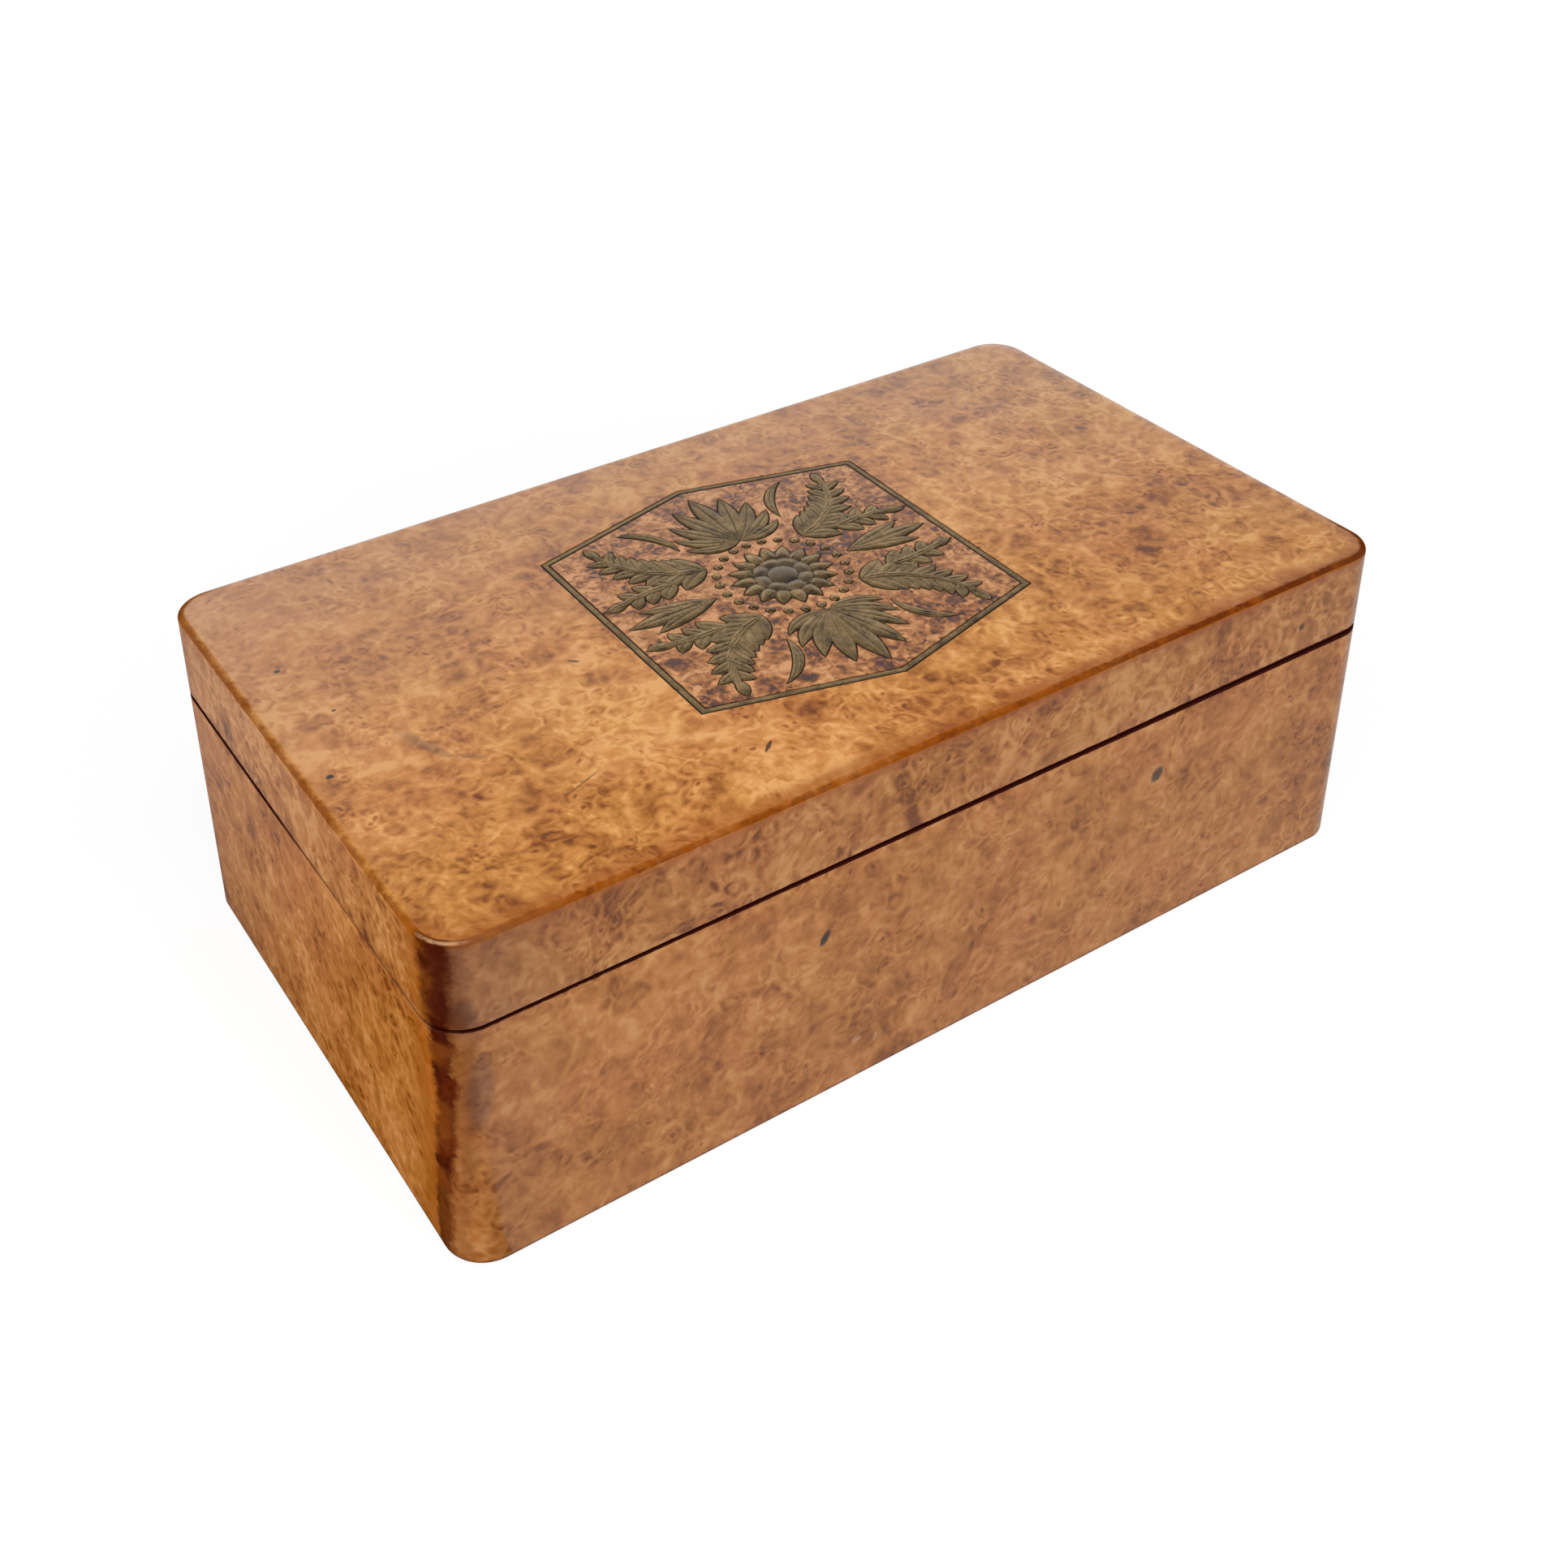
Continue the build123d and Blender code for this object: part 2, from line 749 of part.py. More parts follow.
# Flat brass pieces, flush with the veneer
for label, plan in ornament_plans.items():
    with BuildPart() as inlay:
        with BuildSketch(inlay_plane):
            add(plan())
        extrude(amount=veneer_thickness)
    inlay.part.label = label
    export_step(inlay.part, f"parts/{label}.step")

# Rosette, flush at its edge and rising in low relief to a boss
with BuildPart() as rosette:
    with BuildSketch(inlay_plane):
        add(rosette_plan())
    extrude(amount=veneer_thickness)
    with BuildSketch(Plane.XY.offset(lid_top_level)):
        with PolarLocations(0, rosette_petals, start_angle=180 / rosette_petals):
            with Locations((rosette_radius / 2, 0)):
                SlotOverall(rosette_radius - rosette_petal_width / 2, rosette_rib_width)
    extrude(amount=rosette_rib_relief)
    with BuildSketch(Plane.XY.offset(lid_top_level)):
        Circle(rosette_boss_radius)
    extrude(amount=rosette_relief)
    fillet(faces().sort_by(Axis.Z)[-1].edges(), rosette_boss_round)
rosette.part.label = "inlay_rosette"
export_step(rosette.part, "parts/inlay_rosette.step")

# Case of the hygrometer, stepped inside to seat the dial, with a post for the coil's outer end
gauge_plane = Plane(origin=(hygrometer_x, 0, panel_level))
gauge_section = Plane(origin=(hygrometer_x, 0, panel_level), x_dir=(1, 0, 0), z_dir=(0, -1, 0))
gauge_inner_radius = gauge_case_radius - gauge_wall
coil_level = gauge_seat_depth + coil_gap
coil_outer_radius = coil_inner_radius + coil_turns * coil_pitch
coil_post_x = coil_outer_radius + coil_strip / 2 + coil_post_radius
with BuildPart() as gauge_case:
    with BuildSketch(gauge_section):
        with BuildLine():
            Polyline(
                (gauge_inner_radius, 0),
                (gauge_case_radius, 0),
                (gauge_case_radius, gauge_case_depth),
                (0, gauge_case_depth),
                (0, gauge_case_depth - gauge_wall),
                (gauge_inner_radius - gauge_seat_width, gauge_case_depth - gauge_wall),
                (gauge_inner_radius - gauge_seat_width, gauge_seat_depth),
                (gauge_inner_radius, gauge_seat_depth),
                close=True,
            )
        make_face()
    revolve(axis=Axis((hygrometer_x, 0, 0), (0, 0, 1)))
    with BuildSketch(gauge_plane.offset(coil_level)):
        with Locations((coil_post_x, 0)):
            Circle(coil_post_radius)
    extrude(amount=gauge_case_depth - gauge_wall - coil_level)
gauge_case.part.label = "hygrometer_case"
export_step(gauge_case.part, "parts/hygrometer_case.step")

# Dial against the step of the case
with BuildPart() as dial:
    with BuildSketch(gauge_plane.offset(gauge_seat_depth - dial_thickness)):
        Circle(gauge_inner_radius - seat_clearance)
        Circle(arbor_radius + arbor_clearance, mode=Mode.SUBTRACT)
    extrude(amount=dial_thickness)
dial.part.label = "hygrometer_dial"
export_step(dial.part, "parts/hygrometer_dial.step")

# Bezel, which covers the case's rim and holds the glass on a ledge
with BuildPart() as bezel:
    with BuildSketch(gauge_section):
        with BuildLine():
            Polyline(
                (gauge_glass_radius + seat_clearance, 0),
                (bezel_radius, 0),
                (bezel_radius, -bezel_height),
                (bezel_sight_radius, -bezel_height),
                (bezel_sight_radius, -bezel_height + bezel_ledge_height),
                (gauge_glass_radius + seat_clearance, -bezel_height + bezel_ledge_height),
                close=True,
            )
        make_face()
    revolve(axis=Axis((hygrometer_x, 0, 0), (0, 0, 1)))
    fillet(faces().sort_by(Axis.Z)[0].outer_wire().edges(), bezel_round)
bezel.part.label = "hygrometer_bezel"
export_step(bezel.part, "parts/hygrometer_bezel.step")

with BuildPart() as gauge_glass:
    with BuildSketch(gauge_plane.offset(-bezel_height + bezel_ledge_height)):
        Circle(gauge_glass_radius)
    extrude(amount=gauge_glass_thickness)
gauge_glass.part.label = "hygrometer_glass"
export_step(gauge_glass.part, "parts/hygrometer_glass.step")

# Needle on its arbor, between the glass and the dial, pointing at the reading at rest
needle_angle = dial_top_angle - dial_sweep / 2 + dial_sweep * needle_reading / 100
needle_level = gauge_seat_depth - dial_thickness - needle_lift - needle_thickness
with BuildPart() as needle:
    with BuildSketch(gauge_plane.offset(needle_level).rotated((0, 0, needle_angle))):
        with BuildLine():
            Polyline(
                (needle_length, 0),
                (0, needle_width / 2),
                (-needle_tail, needle_width / 2),
                (-needle_tail, -needle_width / 2),
                (0, -needle_width / 2),
                close=True,
            )
        make_face()
        Circle(needle_hub_radius)
    extrude(amount=needle_thickness)
    with BuildSketch(gauge_plane.offset(needle_level)):
        Circle(arbor_radius)
    extrude(amount=arbor_length)
needle.part.label = "hygrometer_needle"
export_step(needle.part, "parts/hygrometer_needle.step")

# Humidity-sensitive coil behind the dial: half circles that grow by half a pitch each
with BuildPart() as coil:
    with BuildSketch(gauge_plane.offset(coil_level)):
        with BuildLine():
            for i in range(2 * coil_turns):
                hand = 1 if i % 2 == 0 else -1
                start_x = hand * (coil_inner_radius + i * coil_pitch / 2)
                end_x = -hand * (coil_inner_radius + (i + 1) * coil_pitch / 2)
                ThreePointArc((start_x, 0), ((start_x + end_x) / 2, hand * abs(start_x - end_x) / 2), (end_x, 0))
        trace(line_width=coil_strip)
    extrude(amount=coil_width)
coil.part.label = "hygrometer_coil"
export_step(coil.part, "parts/hygrometer_coil.step")

# Cup of the humidifier, with a flange under the cedar panel
cup_plane = Plane(origin=(humidifier_x, 0, panel_level))
cup_section = Plane(origin=(humidifier_x, 0, panel_level), x_dir=(1, 0, 0), z_dir=(0, -1, 0))
with BuildPart() as cup:
    with BuildSketch(cup_section):
        with BuildLine():
            Polyline(
                (cup_radius - cup_wall, -flange_thickness),
                (flange_radius, -flange_thickness),
                (flange_radius, 0),
                (cup_radius, 0),
                (cup_radius, cup_depth),
                (0, cup_depth),
                (0, cup_depth - cup_wall),
                (cup_radius - cup_wall, cup_depth - cup_wall),
                close=True,
            )
        make_face()
    revolve(axis=Axis((humidifier_x, 0, 0), (0, 0, 1)))
    with BuildSketch(cup_plane):
        with PolarLocations(flange_screw_circle, flange_screw_count):
            Circle(flange_screw_radius + screw_clearance)
    extrude(amount=-flange_thickness, mode=Mode.SUBTRACT)
cup.part.label = "humidifier_cup"
export_step(cup.part, "parts/humidifier_cup.step")

# Sponge, held against the cup's end
with BuildPart() as sponge:
    with BuildSketch(cup_plane.offset(cup_depth - cup_wall - sponge_thickness)):
        Circle(cup_radius - cup_wall - sponge_clearance)
    extrude(amount=sponge_thickness)
sponge.part.label = "humidifier_sponge"
export_step(sponge.part, "parts/humidifier_sponge.step")


def vents():
    """Two rings of vent holes in the open sketch."""
    with PolarLocations(outer_vent_circle, vent_count):
        Circle(outer_vent_radius, mode=Mode.SUBTRACT)
    with PolarLocations(inner_vent_circle, vent_count, start_angle=180 / vent_count):
        Circle(inner_vent_radius, mode=Mode.SUBTRACT)


# Grille under the flange, with the pin that stops the shutter
grille_level = -flange_thickness - grille_thickness
shutter_level = grille_level - shutter_clearance - shutter_thickness
stop_pin_angle = 180 / vent_count
stop_slot_arc = CenterArc((0, 0), stop_pin_circle, stop_pin_angle - shutter_travel, shutter_travel)
stop_slot = SlotArc(stop_slot_arc, 2 * (stop_pin_radius + shutter_clearance))
with BuildPart() as grille:
    with BuildSketch(cup_plane.offset(grille_level)):
        Circle(flange_radius)
        Circle(pivot_radius, mode=Mode.SUBTRACT)
        vents()
        with PolarLocations(flange_screw_circle, flange_screw_count):
            Circle(flange_screw_radius + screw_clearance, mode=Mode.SUBTRACT)
    extrude(amount=grille_thickness)
    with BuildSketch(cup_plane.offset(grille_level)):
        with PolarLocations(stop_pin_circle, 1, start_angle=stop_pin_angle):
            Circle(stop_pin_radius)
    extrude(amount=-shutter_clearance - shutter_thickness)
grille.part.label = "humidifier_grille"
export_step(grille.part, "parts/humidifier_grille.step")

# Shutter that turns under the grille to close its holes
with BuildPart() as shutter:
    with BuildSketch(cup_plane.offset(shutter_level)):
        Circle(shutter_radius)
        Circle(pivot_radius + pin_clearance, mode=Mode.SUBTRACT)
        vents()
        add(stop_slot, mode=Mode.SUBTRACT)
    extrude(amount=shutter_thickness)
    with BuildSketch(cup_plane.offset(shutter_level)):
        with PolarLocations(thumb_knob_circle, 2, start_angle=thumb_knob_angle):
            Circle(thumb_knob_radius)
    extrude(amount=-thumb_knob_height)
    fillet(faces().sort_by(Axis.Z)[:2].edges(), thumb_knob_round)
shutter.part.label = "humidifier_shutter"
export_step(shutter.part, "parts/humidifier_shutter.step")

# Pivot screw of the shutter, held in the grille
with BuildPart() as pivot:
    with BuildSketch(cup_plane.offset(-flange_thickness)):
        Circle(pivot_radius)
    extrude(amount=shutter_level - shutter_clearance + flange_thickness)
    with BuildSketch(cup_plane.offset(shutter_level - shutter_clearance)):
        Circle(pivot_head_radius)
    extrude(amount=-pivot_head_height)
    with BuildSketch(cup_plane.offset(shutter_level - shutter_clearance - pivot_head_height)):
        Rectangle(2 * pivot_head_radius, screw_slot_width)
    extrude(amount=screw_slot_depth, mode=Mode.SUBTRACT)
pivot.part.label = "humidifier_pivot_screw"
export_step(pivot.part, "parts/humidifier_pivot_screw.step")

# Screws through the grille and the flange into the cedar panel
with BuildPart() as flange_screws:
    with BuildSketch(cup_plane.offset(grille_level)):
        with PolarLocations(flange_screw_circle, flange_screw_count):
            Circle(flange_screw_head_radius)
    extrude(amount=-flange_screw_head_height)
    with BuildSketch(cup_plane.offset(grille_level)):
        with PolarLocations(flange_screw_circle, flange_screw_count):
            Circle(flange_screw_radius)
    extrude(amount=flange_screw_length)
    with BuildSketch(cup_plane.offset(grille_level - flange_screw_head_height)):
        with PolarLocations(flange_screw_circle, flange_screw_count):
            Rectangle(2 * flange_screw_head_radius, screw_slot_width)
    extrude(amount=screw_slot_depth, mode=Mode.SUBTRACT)
flange_screws.part.label = "humidifier_flange_screws"
export_step(flange_screws.part, "parts/humidifier_flange_screws.step")
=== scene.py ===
import bpy
import numpy as np
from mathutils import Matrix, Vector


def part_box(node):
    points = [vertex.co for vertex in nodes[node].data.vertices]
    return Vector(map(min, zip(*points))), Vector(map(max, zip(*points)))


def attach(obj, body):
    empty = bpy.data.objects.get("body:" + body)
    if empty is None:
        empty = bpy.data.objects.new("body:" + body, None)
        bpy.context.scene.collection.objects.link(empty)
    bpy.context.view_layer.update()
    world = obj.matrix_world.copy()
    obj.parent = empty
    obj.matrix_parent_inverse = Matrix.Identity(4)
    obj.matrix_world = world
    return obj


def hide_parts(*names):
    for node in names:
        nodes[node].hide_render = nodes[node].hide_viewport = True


# The looks of a veneered humidor: burr veneer, an aged brass inlay, a cedar lining and brass fittings.
# Sizes are in millimetres. A mesh is worked out in millimetres too and written in metres.

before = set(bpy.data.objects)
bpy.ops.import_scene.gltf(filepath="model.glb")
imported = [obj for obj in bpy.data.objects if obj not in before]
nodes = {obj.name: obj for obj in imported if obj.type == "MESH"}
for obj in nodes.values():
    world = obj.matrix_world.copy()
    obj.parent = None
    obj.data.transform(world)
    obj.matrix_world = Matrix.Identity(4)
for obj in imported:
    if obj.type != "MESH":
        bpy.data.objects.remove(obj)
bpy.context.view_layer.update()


def node_box(node):
    """Lowest and highest corner of a node at rest, in millimetres."""
    low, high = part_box(node)
    return np.array(low) * 1000.0, np.array(high) * 1000.0


# Outside of the box, from the frame
top_low, top_high = node_box("lid_top_veneer")
base_low, base_high = node_box("base_front_veneer")
half_length, half_depth = top_high[0], top_high[1]
top_level, core_level = top_high[2], top_low[2]
foot_level, rim_level = base_low[2], base_high[2]
lid_rim_level = node_box("lid_front_veneer")[0][2]
veneer = top_level - core_level
panel_level = node_box("lid_cedar_panel")[0][2]
corner_radius = 12.0
rim_ease = 0.4
arris_radius = 1.2
sharp_angle = np.radians(35.0)

# How far the old veneer sways, and the knock on the lid's right side: place and reach, across and up
veneer_sway = 0.05
knock_centre = (-78.0, 95.5)
knock_reach = (5.0, 5.5)
knock_height = 1.1

# Hinge leaves, let into the back veneers
hinge_offset = 95.0
hinge_length = 50.0
leaf_thickness = 1.6

# Brass border, a long hexagon, and the pocket round each brass piece
border_half_width = 58.0
border_side_half_height = 45.5
border_apex = 60.5
border_strip_width = 2.2
glue_line = 0.25

# Ornament, as the veneer's pockets have it
rosette_radius = 16.5
rosette_petals = 16
rosette_petal_width = 6.4
rosette_relief = 0.8
boss_radius = 4.6
small_petal_radius = 6.9
small_petal_reach = 2.4
flute_start = 9.0
pearl_radius = 1.35
pearl_ring_radius = 19.9
pearl_count = 24
spray = {"root": (17.6, 15.0), "heading": 17.0, "turn": 9.0, "pairs": 7, "step": 5.0,
         "length": 12.6, "width": 6.2, "end_size": 0.6}
twig = {"root": (29.0, 13.8), "heading": 2.0, "turn": -5.0, "pairs": 3, "step": 6.0,
        "length": 9.4, "width": 5.2, "end_size": 0.8}
leaf_spread = 46.0
leaf_bend = 1.2
stem_width = 3.6
stem_reach = 2.4
palmette = {"root": (0.0, 23.5), "heading": 90.0, "length": 30.0, "width": 7.6, "spread": 19.0,
            "side_leaves": 4, "taper": 0.105, "bend": 0.6}
fleuron = {"root": (23.8, 0.0), "heading": 0.0, "length": 30.0, "width": 7.0, "spread": 15.0,
           "side_leaves": 1, "taper": 0.2, "bend": -0.7}
tendril = {"root": (18.7, 28.6), "heading": 56.0, "length": 22.0, "width": 3.4, "bend": 3.4,
           "relief": 0.3, "veins": 9}

# Hygrometer and humidifier in the lid
dial_low, dial_high = node_box("hygrometer_dial")
dial_centre = (dial_low[:2] + dial_high[:2]) / 2
dial_face = dial_low[2]
dial_sweep = 270.0
dial_ring_radii = (16.75, 16.95)
dial_arc_radii = (17.15, 18.0)
tick_end_radius = 16.8
number_radius = 12.2
number_size = 3.0
bezel_low, bezel_high = node_box("hygrometer_bezel")
bezel_radius = (bezel_high[0] - bezel_low[0]) / 2
bezel_sight_radius = 18.6
bezel_ledge_height = 0.8
bezel_seat_radius = 20.1
sponge_low, sponge_high = node_box("humidifier_sponge")
cup_centre = (sponge_low[:2] + sponge_high[:2]) / 2


# Helpers for surfaces

def quads(rows, columns, closed_rows):
    """Corner numbers of the faces of a grid whose columns close round, and its rows too if asked."""
    row_count = rows if closed_rows else rows - 1
    row, column = np.meshgrid(np.arange(row_count), np.arange(columns), indexing="ij")
    next_row, next_column = (row + 1) % rows, (column + 1) % columns
    corners = [row * columns + column, row * columns + next_column]
    corners += [next_row * columns + next_column, next_row * columns + column]
    return np.stack(corners, -1).reshape(-1, 4)


def outward(points, faces):
    """The faces, turned so that a closed shell has a positive volume."""
    a, b, c, d = (points[faces[:, k]] for k in range(4))
    middle = points.mean(0)
    twist = np.cross(b - middle, c - middle) + np.cross(c - middle, d - middle)
    volume = np.einsum("ij,ij->", a - middle, twist)
    return faces if volume > 0 else faces[:, ::-1]


def shell(grid, closed_rows=False, spread=None):
    """A closed shell from a grid whose columns run round its section: (points, faces, caps, uv).
    Where the rows aren't closed, the first and the last section are capped."""
    rows, columns = grid.shape[:2]
    points = grid.reshape(-1, 3)
    faces = outward(points, quads(rows, columns, closed_rows))
    caps = []
    if not closed_rows:
        forward = faces[0, 1] == 1
        first = list(range(columns))
        last = list(range((rows - 1) * columns, rows * columns))
        caps = [first[::-1], last] if forward else [first, last[::-1]]
    if spread is None:
        along, round_it = np.meshgrid(np.linspace(0, 1, rows), np.linspace(0, 1, columns), indexing="ij")
        spread = np.stack([along, round_it], -1)
    return points, faces, caps, spread.reshape(-1, 2)


def carried_round(directions, radius, level, centre=(0.0, 0.0)):
    """Grid of a section carried round an upright axis: its radii and levels at each direction."""
    directions = directions[:, None]
    x = centre[0] + radius * np.cos(directions)
    y = centre[1] + radius * np.sin(directions)
    return np.stack([x, y, np.broadcast_to(level, x.shape)], -1)


def quarter_circles(half, radius, first):
    """Directions and centres of the quarter circles round a rounded rectangle, from a first direction."""
    quarter = np.linspace(0.0, 90.0, 9)
    starts = [first, first + 90.0, first + 180.0, first + 270.0]
    signs = [np.sign([np.cos(middle), np.sin(middle)]) for middle in np.radians(np.array(starts) + 45.0)]
    directions = np.radians(np.concatenate([start + quarter for start in starts]))
    return directions, np.repeat(signs, len(quarter), axis=0) * (np.array(half) - radius)


def placed(name, data):
    """A new object in the scene, at the origin."""
    made = bpy.data.objects.new(name, data)
    bpy.context.scene.collection.objects.link(made)
    return made


def piece(name, shells, material, body, replaced=()):
    """A mesh object made of closed shells, riding on a body in place of the replaced nodes."""
    points, faces, spreads, start = [], [], [], 0
    for shell_points, shell_faces, caps, spread in shells:
        points.append(shell_points)
        faces += (shell_faces + start).tolist()
        faces += [[corner + start for corner in cap] for cap in caps]
        spreads.append(spread)
        start += len(shell_points)
    mesh = bpy.data.meshes.new(name)
    mesh.from_pydata(np.concatenate(points) / 1000.0, [], faces)
    layer = mesh.uv_layers.new(name="surface")
    corners = np.empty(len(mesh.loops), dtype=np.int32)
    mesh.loops.foreach_get("vertex_index", corners)
    layer.uv.foreach_set("vector", np.concatenate(spreads)[corners].astype(np.float32).ravel())
    mesh.polygons.foreach_set("use_smooth", np.ones(len(mesh.polygons), dtype=bool))
    mesh.set_sharp_from_angle(angle=sharp_angle)
    mesh.materials.append(material)
    made = placed(name, mesh)
    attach(made, body)
    if replaced:
        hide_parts(*replaced)
    return made


def sway(x, y, z, size, seed):
    """A gentle wave field from -1 to 1: the mean of six plane sine waves of lengths near size."""
    draw = np.random.default_rng(seed)
    waves = 0.0
    for _ in range(6):
        direction = draw.normal(size=3)
        direction /= np.linalg.norm(direction)
        length = size * draw.uniform(0.7, 1.6)
        waves = waves + np.sin(2 * np.pi * (x * direction[0] + y * direction[1] + z * direction[2]) / length
                               + draw.uniform(0, 2 * np.pi))
    return waves / 6


# Helpers for materials. A new node goes into the tree of what is linked to it.

def new_material(name):
    material = bpy.data.materials.new(name)
    material.use_nodes = True
    material.node_tree.nodes.clear()
    return material


def add(kind, inputs, tree=None, **settings):
    """Adds a node, with its settings, and numbers or links for its sockets."""
    linked = [value for value in inputs.values() if isinstance(value, bpy.types.NodeSocket)]
    tree = tree or linked[0].id_data
    made = tree.nodes.new("ShaderNode" + kind)
    for name, value in settings.items():
        setattr(made, name, value)
    for name, value in inputs.items():
        if isinstance(value, bpy.types.NodeSocket):
            tree.links.new(value, made.inputs[name])
        else:
            made.inputs[name].default_value = value
    return made


def place_on(material, stretch=(1.0, 1.0, 1.0)):
    """Place on the piece in millimetres, squeezed along each axis by the stretch."""
    inputs = {"Vector": add("TexCoord", {}, material.node_tree).outputs["Object"]}
    inputs["Scale"] = tuple(1000.0 / share for share in stretch)
    return add("Mapping", inputs).outputs["Vector"]


def xyz(vector):
    return add("SeparateXYZ", {"Vector": vector}).outputs.values()


def math(operation, a, b=0.0, c=0.0):
    return add("Math", {0: a, 1: b, 2: c}, operation=operation).outputs[0]


def squares(a, b):
    return math("MULTIPLY_ADD", a, a, times(b, b))


def less(value, taken):
    return math("SUBTRACT", value, taken)


def times(first, *others):
    for other in others:
        first = math("MULTIPLY", first, other)
    return first


def either(first, *others):
    for other in others:
        first = math("MAXIMUM", first, other)
    return first


def total(start, *terms):
    """The start plus each (value, share) as share times value, or (value, middle, share) as share times
    value less middle."""
    for value, *middle, share in terms:
        start = math("MULTIPLY_ADD", less(value, *(middle or [0.0])), share, start)
    return start


def vector(operation, a, b):
    return add("VectorMath", {0: a, 1: b}, operation=operation).outputs[0]


def length_of(vector):
    return add("VectorMath", {0: vector}, operation="LENGTH").outputs["Value"]


def band(value, low, high, start=0.0, end=1.0):
    """A smooth step from start to end while the value goes from low to high."""
    inputs = {"Value": value, "From Min": low, "From Max": high, "To Min": start, "To Max": end}
    return add("MapRange", inputs, interpolation_type="SMOOTHSTEP").outputs["Result"]


def fading(value, low, high):
    return band(value, low, high, 1.0, 0.0)


def near(value, middle, inner, outer):
    """1 where the value lies within inner of the middle, falling to 0 at outer."""
    return fading(math("ABSOLUTE", less(value, middle)), inner, outer)


def noise(place, size, detail=2.0, roughness=0.5, colour=False):
    inputs = {"Vector": place, "Scale": 1.0 / size, "Detail": detail, "Roughness": roughness}
    return add("TexNoise", inputs).outputs["Color" if colour else "Fac"]


def cells(place, size, feature="F1"):
    return add("TexVoronoi", {"Vector": place, "Scale": 1.0 / size}, feature=feature).outputs["Distance"]


def warp(place, size, reach, detail=2.0):
    """The place, pushed about by a noise of the given size, by up to about reach."""
    drift = vector("SUBTRACT", noise(place, size, detail, colour=True), (0.5, 0.5, 0.5))
    push = add("VectorMath", {0: drift, "Scale": 2.0 * reach}, operation="SCALE").outputs[0]
    return vector("ADD", place, push)


def blend(share, a, b):
    colours = [(*c, 1.0) if isinstance(c, tuple) else c for c in (a, b)]
    return add("Mix", {0: share, 6: colours[0], 7: colours[1]}, data_type="RGBA").outputs[2]


def ramp(value, stops):
    made = add("ValToRGB", {"Fac": value})
    elements = made.color_ramp.elements
    while len(elements) < len(stops):
        elements.new(0.5)
    for element, (position, colour) in zip(elements, stops):
        element.position = position
        element.color = (*colour, 1.0)
    return made.outputs["Color"]


def bump(height, reach, before=None):
    """A normal bent by a height from 0 to 1 that stands for reach in millimetres."""
    inputs = {"Height": height, "Distance": reach / 1000.0, "Strength": 1.0}
    if before is not None:
        inputs["Normal"] = before
    return add("Bump", inputs).outputs["Normal"]


def coated(material, colour, roughness, **inputs):
    """Ends a material in one principled shader, whose sockets are named with underscores for spaces."""
    named = {name.replace("_", " "): value for name, value in inputs.items()}
    named["Base Color"] = (*colour, 1.0) if isinstance(colour, tuple) else colour
    named["Roughness"] = roughness
    shader = add("BsdfPrincipled", named, material.node_tree)
    add("OutputMaterial", {"Surface": shader.outputs["BSDF"]})
    return material


# Burr veneer

def burr_tone(place):
    """Figure of a burr, from 0 in its dark hearts to 1 in its golden veins, with how red it is and its
    threads. Clouds, mottle, speckle and wandering lines are noise. The rest are cells: wide ones in the
    open parts, with pale veins between, and small eyes with a bright ring where the burr is crowded."""
    drift = warp(place, 26.0, 5.0)
    curl = warp(drift, 7.0, 1.5, 1.0)
    ripple = warp(curl, 2.6, 0.7)
    clouds = noise(drift, 42.0, 3.0, 0.55)
    mottle = noise(curl, 11.0, 3.0, 0.6)
    speckle = noise(ripple, 3.0, 2.0, 0.6)
    threads = noise(ripple, 0.9, 2.0, 0.6)
    lines = near(noise(curl, 5.0, 1.0), 0.5, 0.0, 0.035)
    crowd = band(noise(drift, 18.0, 3.0), 0.40, 0.58)
    veins = fading(cells(curl, 11.0, "DISTANCE_TO_EDGE"), 0.0, 0.22)
    small_veins = fading(cells(ripple, 5.2, "DISTANCE_TO_EDGE"), 0.0, 0.30)
    eye = total(cells(ripple, 5.2), (speckle, 0.5, 0.35))
    tone = total(
        0.44,
        (clouds, 0.5, 1.1),
        (mottle, 0.5, 1.3),
        (speckle, 0.5, 0.95),
        (times(veins, less(1.3, crowd)), 0.21),
        (times(small_veins, total(0.25, (crowd, 0.75))), 0.32),
        (times(fading(eye, 0.02, 0.22), crowd), -0.22),
        (times(near(eye, 0.27, 0.03, 0.17), crowd), 0.15),
        (times(near(eye, 0.50, 0.03, 0.24), crowd), -0.15),
        (lines, -0.06),
        (threads, 0.5, 0.14),
    )
    redness = band(noise(drift, 30.0), 0.42, 0.62, 0.0, 0.6)
    return tone, redness, threads


golden_stops = [
    (0.02, (0.165, 0.039, 0.002)),
    (0.20, (0.290, 0.086, 0.005)),
    (0.42, (0.435, 0.158, 0.024)),
    (0.56, (0.520, 0.203, 0.038)),
    (0.74, (0.610, 0.256, 0.058)),
    (1.00, (0.740, 0.370, 0.115)),
]
red_stops = [
    (0.02, (0.150, 0.034, 0.002)),
    (0.20, (0.278, 0.077, 0.006)),
    (0.42, (0.430, 0.144, 0.028)),
    (0.56, (0.518, 0.188, 0.043)),
    (0.74, (0.610, 0.242, 0.065)),
    (1.00, (0.735, 0.350, 0.118)),
]
field_stops = [
    (0.02, (0.045, 0.008, 0.001)),
    (0.22, (0.120, 0.028, 0.003)),
    (0.42, (0.240, 0.073, 0.010)),
    (0.60, (0.360, 0.128, 0.028)),
    (0.80, (0.480, 0.200, 0.062)),
    (1.00, (0.620, 0.290, 0.115)),
]

